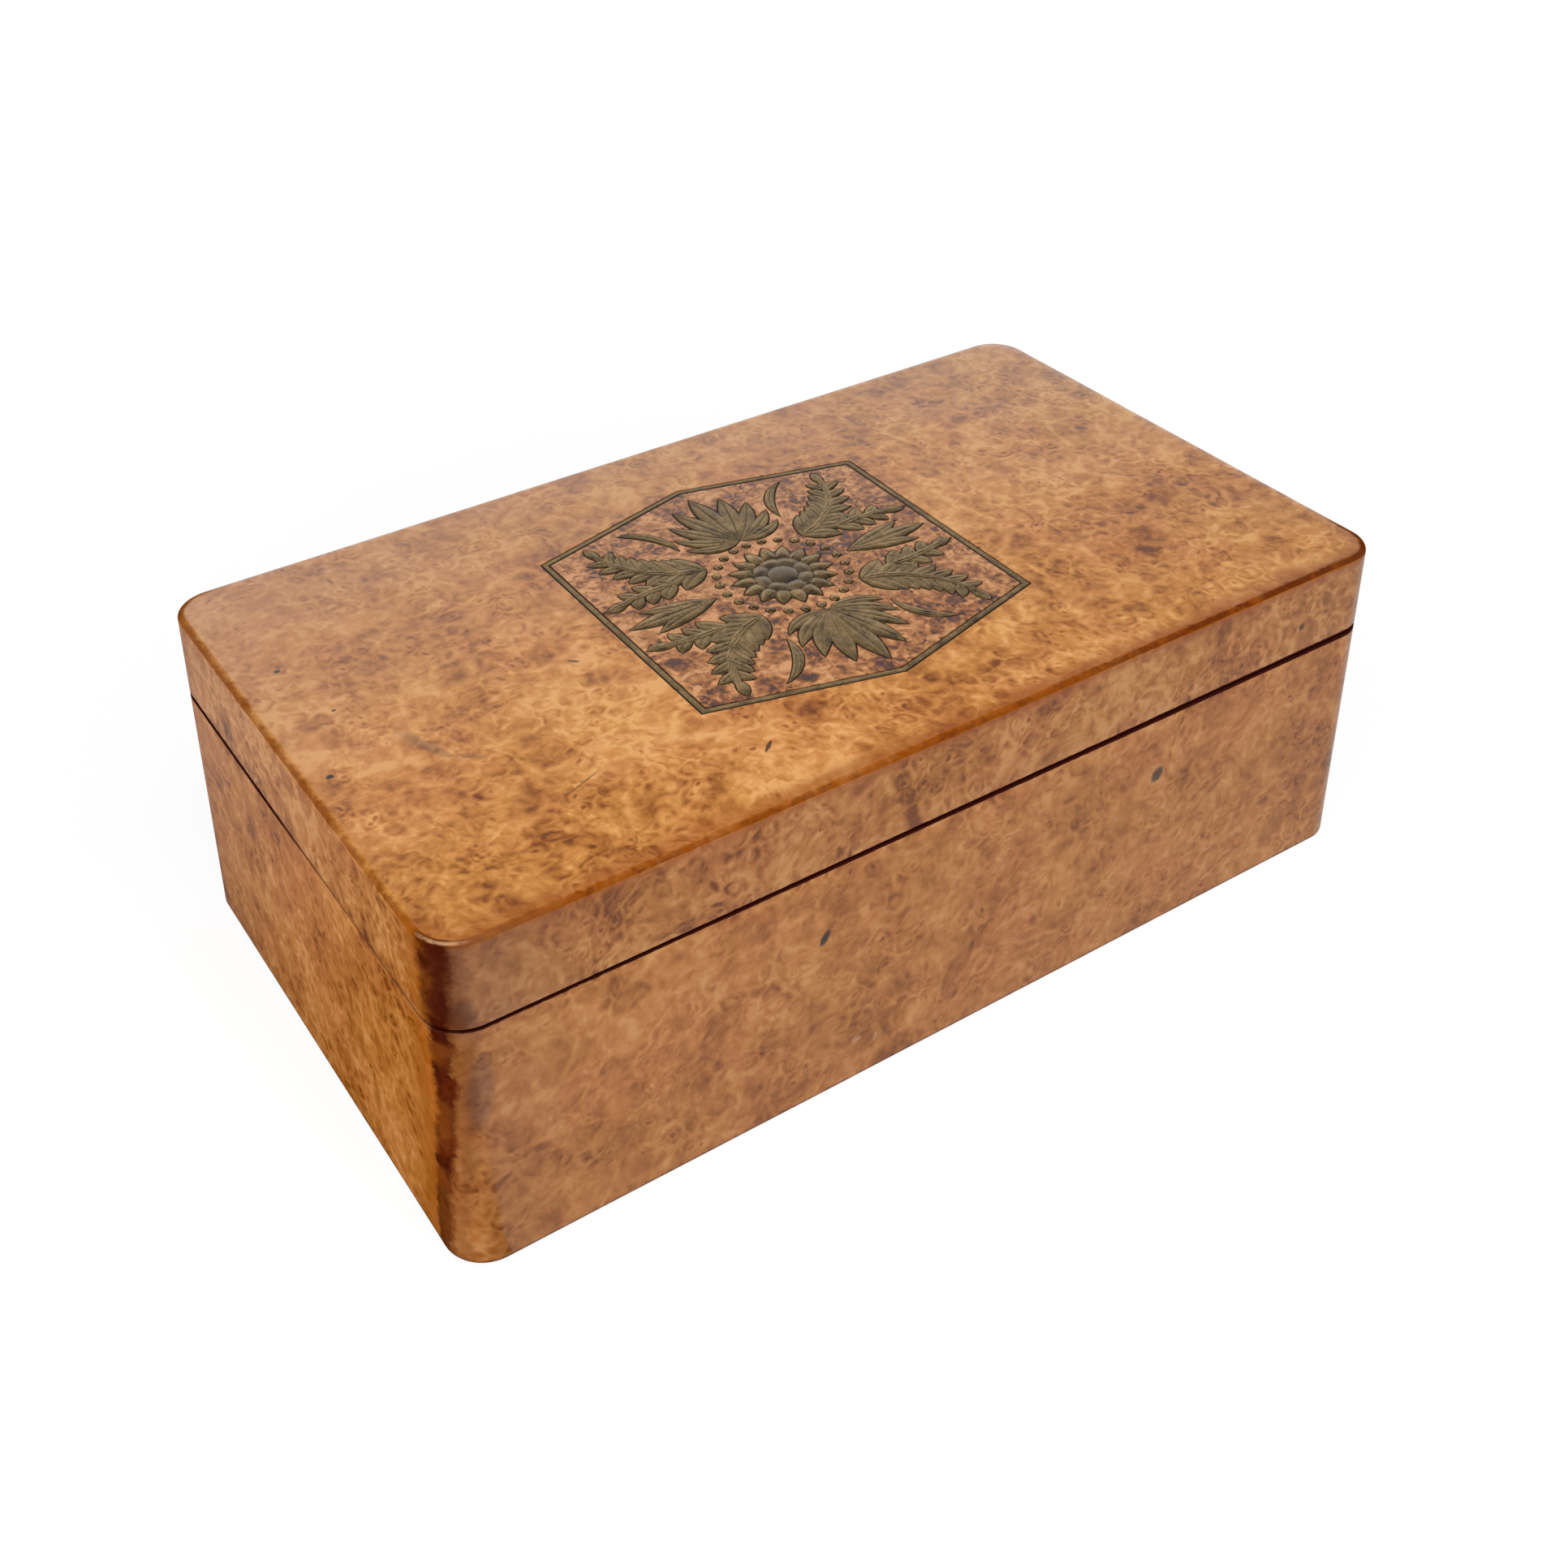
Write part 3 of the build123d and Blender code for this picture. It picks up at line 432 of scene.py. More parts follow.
# Marks on the old polish: centre, width, height, slant in degrees, softness, share and colour.
# Knots and filler are dark, so are soft patches by the front's left corner and on the top's left part, a
# knock is grey, and wear shows pale wood.
black_knot = (0.012, 0.008, 0.005)
lid_marks = [
    ((-145.9, 38.0), 2.2, 1.8, 0.0, 0.5, 0.95, black_knot),
    ((-152.4, -14.4), 2.0, 1.7, 0.0, 0.5, 1.0, black_knot),
    ((-140.0, 12.0), 1.3, 1.1, 0.0, 0.5, 0.9, black_knot),
    ((-74.6, -4.2), 3.8, 1.0, 40.0, 0.6, 0.85, black_knot),
    ((-51.1, -67.2), 5.6, 1.1, -40.0, 0.6, 0.9, (0.045, 0.014, 0.004)),
    ((-92.5, 26.0), 1.6, 1.2, 0.0, 0.8, 0.7, (0.07, 0.025, 0.01)),
    ((-99.5, -53.3), 13.0, 0.7, -20.0, 0.7, 0.6, (0.09, 0.025, 0.006)),
    ((-126.0, -16.0), 3.6, 20.0, -22.0, 1.1, 0.45, (0.10, 0.055, 0.03)),
    ((-118.0, -27.0), 7.0, 2.6, 35.0, 1.1, 0.4, (0.10, 0.055, 0.03)),
]
front_marks = [
    ((-48.4, 58.0), 2.8, 5.4, 32.0, 0.8, 0.95, (0.030, 0.014, 0.009)),
    ((72.1, 60.0), 4.4, 5.6, 38.0, 0.9, 0.9, (0.032, 0.018, 0.012)),
    ((127.5, 91.4), 2.6, 2.2, 30.0, 0.8, 0.85, (0.05, 0.015, 0.006)),
    ((-151.0, 60.0), 7.0, 24.0, 4.0, 1.1, 0.42, (0.075, 0.035, 0.030)),
    ((-153.0, 86.0), 7.0, 9.0, 0.0, 1.1, 0.5, (0.070, 0.022, 0.010)),
    ((-37.0, 15.0), 3.0, 2.2, 0.0, 1.0, 0.35, (0.62, 0.38, 0.24)),
    ((-30.5, 12.5), 1.6, 3.4, 20.0, 1.0, 0.3, (0.62, 0.38, 0.24)),
]
right_marks = [((-79.0, 95.5), 8.0, 12.0, 0.0, 1.1, 0.7, (0.050, 0.040, 0.040))]


def spot(across, up, centre, width, height, slant, softness):
    """A soft-edged oval, 1 inside. The slant turns it clockwise."""
    cosine, sine = np.cos(np.radians(slant)), np.sin(np.radians(slant))
    dx, dy = less(across, centre[0]), less(up, centre[1])
    turned_x = math("MULTIPLY_ADD", dx, cosine / (width / 2), times(dy, -sine / (width / 2)))
    turned_y = math("MULTIPLY_ADD", dx, sine / (height / 2), times(dy, cosine / (height / 2)))
    return fading(squares(turned_x, turned_y), 1.0 - 0.8 * softness, 1.0 + 0.6 * softness)


def marked(colour, across, up, marks, ragged):
    """The colour with the marks on it, whose edges are ragged."""
    moved = total(across, (ragged, 0.5, 1.2))
    for *oval, share, tint in marks:
        colour = blend(times(spot(moved, up, *oval), share), colour, tint)
    return colour


def rounded_outline(x, y):
    """From the box's rounded outline in plan: how far inside it a place lies, down to the corner radius,
    the way round the nearest corner from where the end's flat stops, less than 0 on the end and more on
    the front, and whether the place is in a corner."""
    over_x = less(math("ABSOLUTE", x), half_length - corner_radius)
    over_y = less(math("ABSOLUTE", y), half_depth - corner_radius)
    along_x, along_y = either(over_x, 0.0), either(over_y, 0.0)
    beyond_x, beyond_y = either(times(over_x, -1.0), 0.0), either(times(over_y, -1.0), 0.0)
    inside = less(corner_radius, math("SQRT", squares(along_x, along_y)))
    turned = times(math("ARCTAN2", along_y, along_x), corner_radius)
    around = total(turned, (beyond_x, 1.0), (beyond_y, -1.0))
    return inside, around, band(math("MINIMUM", over_x, over_y), -0.5, 0.5)


def burr_walnut(name, side):
    """Old polished burr veneer on a side: "top", "front", "right" or "others". Polish has gathered along the
    lid's arris and in the corners; painted shade lies in the corners, at the seam and at the foot, with a
    painted glint at the front's left corner."""
    material = new_material(name)
    place = place_on(material)
    x, y, z = xyz(place)
    inside, around, in_corner = rounded_outline(x, y)
    ragged = noise(place, 2.4, 3.0, 0.6)
    blotch = noise(place, 8.0, 3.0, 0.6)
    polish = noise(place, 14.0, 3.0, 0.6)
    on_lid = band(z, 76.0, 84.0)
    tone, redness, threads = burr_tone(place)
    if side != "top":
        contrast = total(0.8, (on_lid, 0.3))
        tone = either(total(0.53, (times(less(tone, 0.53), contrast), 1.0)), 0.10)
    colour = blend(redness, ramp(tone, golden_stops), ramp(tone, red_stops))
    # Painted shade on the sides: tinted darker than the top, the front darkest, and the lid's sides a few
    # per cent darker again.
    if side != "top":
        tint, shade = ((0.82, 0.755, 0.735), 0.07) if side == "front" else ((0.96, 0.885, 0.865), 0.09)
        colour = blend(times(on_lid, shade), vector("MULTIPLY", colour, tint), (0.0, 0.0, 0.0))

    # Warm polish near the lid's arris, with a dark line along it at the front and the left
    warm = times(
        fading(total(inside, (blotch, 0.5, 7.0)), 2.0, 9.0),
        band(z, core_level - 4.0, core_level + 0.5),
        band(x, -130.0, 30.0, 0.5, 0.7),
        band(y, -70.0, -79.0, 0.12, 1.0),
    )
    facing = either(band(y, -60.0, -82.0), band(x, -140.0, -156.0))
    to_right = band(x, -20.0, 140.0)
    line = times(
        fading(total(inside, (ragged, 0.5, 3.0), (to_right, -0.9)), 0.5, 2.1),
        band(total(z, (to_right, -0.25)), core_level + 0.2, core_level + 0.6),
        facing,
        band(blotch, 0.32, 0.52, 0.6, 1.0),
        total(0.74, (to_right, 0.26)),
    )
    chips = band(total(noise(place, 5.0, 3.0, 0.6), (to_right, 0.10)), 0.46, 0.60)
    chips = either(chips, band(x, -150.0, -158.0, 0.0, 0.8))
    line_colour = blend(chips, (0.225, 0.045, 0.001), (0.130, 0.022, 0.001))
    arris = times(fading(inside, 1.6, 2.4), band(z, core_level, core_level + 0.3), facing)

    # Old polish and painted light in the vertical corners, strongest at the front's left one: a painted
    # amber glint on the end, then a dark core of painted shade, whose middle lies further round towards the
    # top, then dull brown painted shade
    core_middle = band(z, 8.0, 60.0, 1.0, 7.0)
    wander = total(around, (core_middle, -1.0), (blotch, 0.5, 7.0))
    from_core = total(wander, (ragged, 0.5, 3.0), (threads, 0.5, 2.5))
    near_left = band(math("ADD", x, y), -60.0, -200.0, 0.3, 1.0)
    outside = fading(inside, 1.2, 2.2)
    skin = times(outside, near_left)
    amber_glint = times(band(from_core, -20.0, -4.0), fading(from_core, 1.0, 5.0), skin, 0.7)
    # A broad painted shade on the front beside the corner.
    end = times(band(from_core, 3.0, 6.0), fading(from_core, 12.0, 45.0), skin, total(0.22, (on_lid, 0.28)))
    dull_shade = times(near(from_core, 5.0, 2.2, 5.5), skin, total(0.52, (on_lid, 0.16)))
    by_seam = near(z, rim_level, 3.0, 9.0)
    patchy = either(by_seam, band(polish, 0.36, 0.56, 0.75, 1.0))
    corner_shade = times(near(times(from_core, total(1.0, (on_lid, -0.32))), 0.0, 1.6, 4.8), skin, patchy, 0.97)
    heart = band(total(blotch, (ragged, 0.5, 0.5)), 0.34, 0.60, 0.1, 1.0)
    darker = either(times(on_lid, 0.9), heart, by_seam)
    corner_shade_colour = blend(darker, (0.100, 0.012, 0.001), (0.044, 0.003, 0.001))

    # Painted shade in the seam, wider to the right and fainter where it closes tightly, and painted shade at
    # the foot, with pale wear at the foot of the lid's front left corner
    from_seam = math("ABSOLUTE", less(z, (rim_level + lid_rim_level) / 2))
    back_left = times(band(x, -150.0, -158.0), band(y, -10.0, 15.0))
    rims = fading(total(from_seam, (ragged, 0.5, 0.5), (x, -0.0022), (back_left, -0.4)), 0.82, 1.15)
    tight = times(band(x, -153.0, -159.0), band(y, 20.0, -40.0))
    seam_shade = times(rims, less(1.0, times(tight, 0.75)))
    foot = fading(total(z, (ragged, 0.5, 1.2)), foot_level, foot_level + 0.9)
    lid_foot = times(near(z, lid_rim_level + 0.8, 0.3, 0.8), band(ragged, 0.4, 0.55))
    lid_foot = times(lid_foot, near(around, -1.0, 1.5, 4.0), near_left, outside, 0.6)

    layers = [
        (warm, (0.29, 0.062, 0.001)),
        (line, line_colour),
        (amber_glint, (0.36, 0.095, 0.004)),
        (end, (0.21, 0.075, 0.028)),
        (dull_shade, (0.155, 0.046, 0.013)),
        (corner_shade, corner_shade_colour),
        (either(seam_shade, times(foot, 0.8)), (0.040, 0.003, 0.001)),
        (lid_foot, (0.52, 0.28, 0.13)),
    ]
    if side == "top":
        beyond_border = band(math("ABSOLUTE", y), border_apex, border_apex + 0.5)
        joint = times(near(x, 0.0, 0.05, 0.28), beyond_border, 0.3)
        shaded = total(math("MULTIPLY_ADD", x, -0.35, y), (blotch, 0.5, 60.0))
        layers.append((joint, (0.12, 0.04, 0.01)))
        layers.append((band(shaded, -20.0, 130.0, 0.0, 0.30), (0.28, 0.085, 0.020)))
    for mask, tint in layers:
        colour = blend(mask, colour, tint)
    marks_on = {"top": (x, y, lid_marks), "front": (x, z, front_marks), "right": (y, z, right_marks)}
    if side in marks_on:
        colour = marked(colour, *marks_on[side], ragged)
    if side == "top":
        # A pale arc on the arris at the front's left corner: worn wood, and a painted highlight.
        worn_highlight = times(band(inside, 0.2, 0.6), fading(inside, 0.9, 1.6), in_corner)
        worn_highlight = times(worn_highlight, band(x, -140.0, -150.0), band(y, -70.0, -78.0))
        worn_highlight = times(worn_highlight, band(around, 0.5, 5.5), fading(around, 12.0, 18.0), band(ragged, 0.35, 0.55), 0.7)
        colour = blend(worn_highlight, colour, (0.62, 0.34, 0.16))

    gloss = total(0.15, (polish, 0.14), (rims, 0.65), (arris, 0.7))
    shine = total(0.5, (either(seam_shade, arris), -0.44), (corner_shade, -0.38))
    normal = bump(threads, 0.006, bump(noise(place, 45.0, 2.0), 0.30))
    return coated(material, colour, gloss, Normal=normal, Specular_IOR_Level=shine)


def field_burr():
    """The redder, darker burr inside the border."""
    material = new_material("field_burr")
    place = place_on(material)
    finer = vector("MULTIPLY", place, (1.5, 1.5, 1.5))
    tone, redness, threads = burr_tone(vector("ADD", finer, (500.0, 120.0, 0.0)))
    colour = ramp(total(0.47, (tone, 0.5, 1.35), (redness, 0.3, -0.1)), field_stops)
    normal = bump(threads, 0.012)
    return coated(material, colour, 0.34, Normal=normal)


# Metals

def aged_brass():
    """Old inlaid brass: khaki, with a painted dark reflection near the middle, darker towards the edges and
    in the engraving from dirt and painted shade, with a painted shadow towards the back, and fine scratches."""
    material = new_material("aged_brass")
    place = place_on(material)
    surface = add("UVMap", {}, material.node_tree, uv_map="surface").outputs["UV"]
    patina = noise(place, 6.0, 4.0, 0.65)
    specks = noise(place, 0.8, 3.0, 0.7)
    pits = fading(cells(warp(place, 2.0, 0.8), 1.5), 0.08, 0.30)
    pits = times(pits, band(noise(place, 5.0, 3.0), 0.46, 0.60))
    tone = total(0.5, (patina, 0.5, 1.9), (specks, 0.5, 1.0), (pits, -0.5))
    colour = ramp(tone, [
        (0.05, (0.055, 0.032, 0.012)),
        (0.30, (0.150, 0.094, 0.037)),
        (0.60, (0.255, 0.163, 0.066)),
        (0.85, (0.355, 0.236, 0.105)),
        (1.00, (0.500, 0.355, 0.185)),
    ])
    from_middle = length_of(vector("MULTIPLY", place, (1.0, 1.0, 0.0)))
    # A painted dark reflection near the middle.
    dark_reflection = band(total(from_middle, (patina, 0.5, 8.0)), 3.0, 13.0, 0.75, 0.0)
    colour = blend(dark_reflection, colour, (0.098, 0.080, 0.064))
    # Dark at the edges and in the hollows, partly dirt and partly painted shade, with a painted shadow that
    # widens the dark outlines towards the back.
    shadow_to_back = band(xyz(place)[1], -10.0, 60.0, 0.0, 0.22)
    dirt_and_shade = total(xyz(surface)[1], (specks, 0.5, 0.7), (patina, 0.5, 0.5), (shadow_to_back, 1.0))
    dirt_and_shade = band(dirt_and_shade, 0.20, 0.85)
    colour = blend(times(dirt_and_shade, 0.9), colour, (0.016, 0.009, 0.004))
    scratches = noise(warp(place_on(material, (0.25, 6.0, 1.0)), 9.0, 1.0), 1.0, 2.0)
    gloss = total(0.42, (patina, 0.5, 0.35), (dirt_and_shade, 0.2))
    worn_down = total(times(specks, 0.7), (scratches, 0.5, 0.5), (pits, -0.8))
    normal = bump(worn_down, 0.035)
    return coated(material, colour, gloss, Metallic=0.9, Normal=normal)


def turned_brass(name, centre, colours, rough):
    """Brass turned on a lathe about a centre: fine rings, faint tarnish."""
    material = new_material(name)
    place = place_on(material)
    x, y, z = xyz(vector("SUBTRACT", place, (*centre, 0.0)))
    ring_place = add("CombineXYZ", {"X": math("SQRT", squares(x, y)), "Y": times(z, 0.5)}).outputs[0]
    rings = noise(ring_place, 0.22, 2.0, 0.6)
    tarnish = noise(place, 7.0, 4.0, 0.6)
    colour = blend(band(tarnish, 0.35, 0.7), *colours)
    gloss = total(rough, (tarnish, 0.5, 0.3), (rings, 0.5, 0.12))
    normal = bump(rings, 0.012)
    return coated(material, colour, gloss, Metallic=1.0, Normal=normal)


def hinge_brass():
    """Drawn brass, brushed along the hinge."""
    material = new_material("hinge_brass")
    place = place_on(material)
    brushing = noise(place_on(material, (9.0, 0.12, 0.12)), 1.0, 2.0, 0.6)
    tarnish = noise(place, 5.0, 4.0, 0.65)
    colour = blend(band(tarnish, 0.4, 0.68), (0.60, 0.43, 0.17), (0.30, 0.20, 0.075))
    gloss = total(0.34, (tarnish, 0.5, 0.4), (brushing, 0.5, 0.15))
    return coated(material, colour, gloss, Metallic=1.0, Normal=bump(brushing, 0.015))


def blued_steel():
    """Heat-blued steel, greyer in patches."""
    material = new_material("blued_steel")
    place = place_on(material)
    tint = noise(place, 4.0, 3.0)
    colour = blend(band(tint, 0.4, 0.65), (0.018, 0.035, 0.120), (0.050, 0.045, 0.090))
    return coated(material, colour, total(0.28, (tint, 0.5, 0.2)), Metallic=0.9)


# Plain woods

def straight_wood(name, grain, stops, ring_turns, rough):
    """Straight-grained wood with the grain along an axis: growth rings as the sine of a long noise, streaks,
    fibres and pores."""
    material = new_material(name)

    def drawn_out(stretch):
        return place_on(material, [stretch if axis == grain else 1.0 for axis in "XYZ"])

    streaked = drawn_out(22.0)
    rings = math("SINE", math("MULTIPLY", noise(drawn_out(12.0), 22.0, 2.0), ring_turns))
    streaks = noise(streaked, 3.2, 5.0, 0.7)
    fibres = noise(drawn_out(60.0), 0.35, 2.0, 0.6)
    pores = band(noise(streaked, 0.32, 2.0), 0.58, 0.66)
    tone = total(0.52, (rings, 0.10), (streaks, 0.5, 0.8), (fibres, 0.5, 0.6), (pores, -0.26))
    colour = ramp(tone, stops)
    normal = bump(total(times(fibres, 0.6), (pores, -0.4)), 0.05)
    return coated(material, colour, rough, Normal=normal)


cedar_stops = [
    (0.05, (0.190, 0.066, 0.024)),
    (0.35, (0.375, 0.155, 0.062)),
    (0.60, (0.520, 0.245, 0.108)),
    (1.00, (0.680, 0.380, 0.195)),
]
carcass_stops = [
    (0.05, (0.075, 0.030, 0.014)),
    (0.35, (0.160, 0.070, 0.030)),
    (0.60, (0.250, 0.118, 0.052)),
    (1.00, (0.380, 0.205, 0.100)),
]


# Cloth, foam, enamel and glass

def baize_cloth():
    """Green wool baize: a felted nap, worn in patches."""
    material = new_material("baize_cloth")
    place = place_on(material)
    nap = noise(warp(place, 1.4, 0.6), 0.35, 3.0, 0.7)
    wear = noise(place, 25.0, 3.0, 0.6)
    colour = ramp(total(0.45, (nap, 0.5, 0.9), (wear, 0.5, 0.6)), [
        (0.0, (0.010, 0.050, 0.018)),
        (0.5, (0.024, 0.105, 0.040)),
        (1.0, (0.060, 0.180, 0.080)),
    ])
    return coated(material, colour, 0.95, Sheen_Weight=0.5, Normal=bump(nap, 0.15))


def green_foam():
    """Open foam, with dark pores."""
    material = new_material("green_foam")
    place = place_on(material)
    pores = cells(warp(place, 1.5, 0.5), 1.1)
    damp = noise(place, 10.0, 3.0)
    colour = blend(band(pores, 0.15, 0.5), (0.02, 0.07, 0.035), (0.12, 0.33, 0.17))
    colour = blend(band(damp, 0.5, 0.7, 0.0, 0.4), colour, (0.06, 0.20, 0.10))
    return coated(material, colour, 0.9, Normal=bump(pores, 0.5))


def dial_enamel():
    """Cream dial, yellowed a little towards its edge."""
    material = new_material("dial_enamel")
    place = place_on(material)
    from_centre = vector("SUBTRACT", place, (*dial_centre, dial_face))
    radius = length_of(from_centre)
    grain = noise(place, 1.5, 3.0, 0.6)
    aged = total(band(radius, 8.0, 21.0), (grain, 0.5, 0.3))
    colour = blend(aged, (0.84, 0.81, 0.70), (0.74, 0.66, 0.48))
    return coated(material, colour, 0.45, Normal=bump(grain, 0.008))


def printed_ink(name, tint):
    """Printed ink, slightly uneven."""
    material = new_material(name)
    grain = noise(place_on(material), 0.5, 2.0)
    colour = blend(grain, tint, tuple(min(1.0, 1.8 * c + 0.01) for c in tint))
    return coated(material, colour, 0.55)


def clear_glass():
    """Thin gauge glass with a trace of dust."""
    material = new_material("clear_glass")
    film = noise(place_on(material), 3.0, 4.0, 0.7)
    gloss = band(film, 0.5, 0.8, 0.0, 0.12)
    return coated(material, (1.0, 1.0, 1.0), gloss, IOR=1.1, Transmission_Weight=1.0)


burr_top = burr_walnut("burr_top", "top")
# The front's copy of the burr is painted a shade darker than the other sides.
burr_front_shaded = burr_walnut("burr_front_shaded", "front")
burr_right = burr_walnut("burr_right", "right")
burr_sides = burr_walnut("burr_sides", "others")
inlay_brass = aged_brass()
fittings_brass = hinge_brass()
gauge_tints = ((0.78, 0.57, 0.25), (0.58, 0.39, 0.15))
gauge_brass = turned_brass("gauge_brass", dial_centre, gauge_tints, 0.2)
cup_tints = ((0.76, 0.55, 0.24), (0.55, 0.37, 0.14))
humidifier_brass = turned_brass("humidifier_brass", cup_centre, cup_tints, 0.24)
cedar = {axis: straight_wood(f"cedar_{axis}", axis, cedar_stops, 34.0, 0.6) for axis in "XY"}
carcass = {axis: straight_wood(f"carcass_{axis}", axis, carcass_stops, 30.0, 0.5) for axis in "XY"}

# Materials of the nodes that keep their shape
finish_of = {
    "bottom_board": carcass["X"],
    "lid_top_board": carcass["X"],
    "cedar_floor": cedar["X"],
    "lid_cedar_panel": cedar["X"],
    "divider": cedar["Y"],
    "inlay_field_veneer": field_burr(),
    "hygrometer_case": gauge_brass,
    "hygrometer_dial": dial_enamel(),
    "hygrometer_glass": clear_glass(),
}
for side, grain in (("front", "X"), ("back", "X"), ("left", "Y"), ("right", "Y")):
    finish_of[f"base_{side}_board"] = carcass[grain]
    finish_of[f"lid_{side}_rail"] = carcass[grain]
    finish_of[f"cedar_{side}_lining"] = cedar[grain]
    finish_of[f"lid_{side}_cedar_strip"] = cedar[grain]
for name in ("base_leaves", "lid_leaves", "pins", "base_screws", "lid_screws"):
    finish_of[f"hinge_{name}"] = fittings_brass
for name in ("cup", "grille", "shutter", "pivot_screw", "flange_screws"):
    finish_of[f"humidifier_{name}"] = humidifier_brass
for name in ("coil", "needle"):
    finish_of[f"hygrometer_{name}"] = blued_steel()
for node, finish in finish_of.items():
    nodes[node].data.materials.clear()
    nodes[node].data.materials.append(finish)


# Veneer round the base and the lid

side_turns = {"front": 0.0, "right": 90.0, "back": 180.0, "left": 270.0}
corner_stations = 11
straight_step = 3.0


def side_path(side):
    """Plan of a side's outline from the middle of one rounded corner to the middle of the next: an eighth
    of a circle, a straight line and an eighth of a circle, as points and outward normals."""
    along, out = (half_length, half_depth) if side in ("front", "back") else (half_depth, half_length)
    straight = along - corner_radius
    bends = np.radians(np.linspace(225.0, 270.0, corner_stations))
    stations = np.arange(-straight + straight_step, straight - straight_step / 2, straight_step)
    if side == "back":
        edges = [sign * hinge_offset + end * hinge_length / 2 for sign in (-1, 1) for end in (-1, 1)]
        stations = np.sort(np.concatenate([stations, edges, np.array(edges) + 1e-4]))
    bend_x, bend_y = corner_radius * np.cos(bends), corner_radius - out + corner_radius * np.sin(bends)
    x = np.concatenate([bend_x - straight, stations, straight - bend_x[::-1]])
    y = np.concatenate([bend_y, np.full(len(stations), -out), bend_y[::-1]])
    facing = np.full(len(stations), np.radians(270.0))
    angle = np.concatenate([bends, facing, np.radians(540.0) - bends[::-1]])
    turn = np.radians(side_turns[side])
    points = np.stack([x * np.cos(turn) - y * np.sin(turn), x * np.sin(turn) + y * np.cos(turn)], -1)
    normals = np.stack([np.cos(angle + turn), np.sin(angle + turn)], -1)
    return points, normals


def veneer_side(group, side, low, high, eased_top):
    """A leaf of veneer round one side. Its section is a tall strip whose outer rim is a quarter circle of
    the ease, and it is carried along the side's path. The outer face sways by a few hundredths, as an old
    veneer does, and the rim dips where a hinge leaf is let in."""
    path, normals = side_path(side)
    rows = max(6, int((high - low) / 4.0))
    face = np.linspace(0.0, 1.0, rows)
    ease = np.radians(np.linspace(0.0, 90.0, 5))
    inward = rim_ease * (1.0 - np.cos(ease))
    depth = np.concatenate([np.zeros(rows), -inward[1:], [-veneer, -veneer]])
    share = np.concatenate([face, np.ones(4), [1.0, 0.0]])
    rise = np.concatenate([np.zeros(rows), rim_ease * (np.sin(ease[1:]) - 1.0), [0.0, 0.0]])
    rise[:rows] -= face * rim_ease
    rim = np.zeros(len(path))
    if side == "back":
        under_leaf = np.abs(np.abs(path[:, 0]) - hinge_offset) < hinge_length / 2 - 5e-5
        rim = np.where(under_leaf, leaf_thickness, 0.0)
    if eased_top:
        level = low + share * (high - low - rim[:, None]) + rise
    else:
        level = high - share * (high - low - rim[:, None]) - rise
    x = path[:, :1] + normals[:, :1] * depth
    y = path[:, 1:] + normals[:, 1:] * depth
    outer = (depth > -veneer) * np.ones_like(x)
    bulge = veneer_sway * sway(x, y, level, 46.0, 11) * outer
    if (group, side) == ("lid", "right"):
        across = (y - knock_centre[0]) / knock_reach[0]
        up = (level - knock_centre[1]) / knock_reach[1]
        bulge = bulge + knock_height * np.exp(-(across**2) - up**2) * outer
    grid = np.stack([x + normals[:, :1] * bulge, y + normals[:, 1:] * bulge, level], -1)
    material = {"front": burr_front_shaded, "right": burr_right}.get(side, burr_sides)
    name = f"{group}_{side}"
    piece(f"{name}_burr", [shell(grid)], material, group, [f"{name}_veneer"])


for side in side_turns:
    veneer_side("base", side, foot_level, rim_level, True)
    veneer_side("lid", side, lid_rim_level, core_level, False)


# Veneer of the lid's top, round the border

border_corners = np.array([
    (border_half_width, -border_side_half_height),
    (border_half_width, border_side_half_height),
    (0.0, border_apex),
    (-border_half_width, border_side_half_height),
    (-border_half_width, -border_side_half_height),
    (0.0, -border_apex),
])


def inset_corners(distance):
    """The border's corners when its sides move inwards by a distance."""
    edges = border_corners - np.roll(border_corners, 1, axis=0)
    first = np.stack([-edges[:, 1], edges[:, 0]], -1) / np.linalg.norm(edges, axis=1)[:, None]
    second = np.roll(first, -1, axis=0)
    cosine = np.einsum("ij,ij->i", first, second)[:, None]
    return border_corners + (first + second) * distance / (1.0 + cosine)


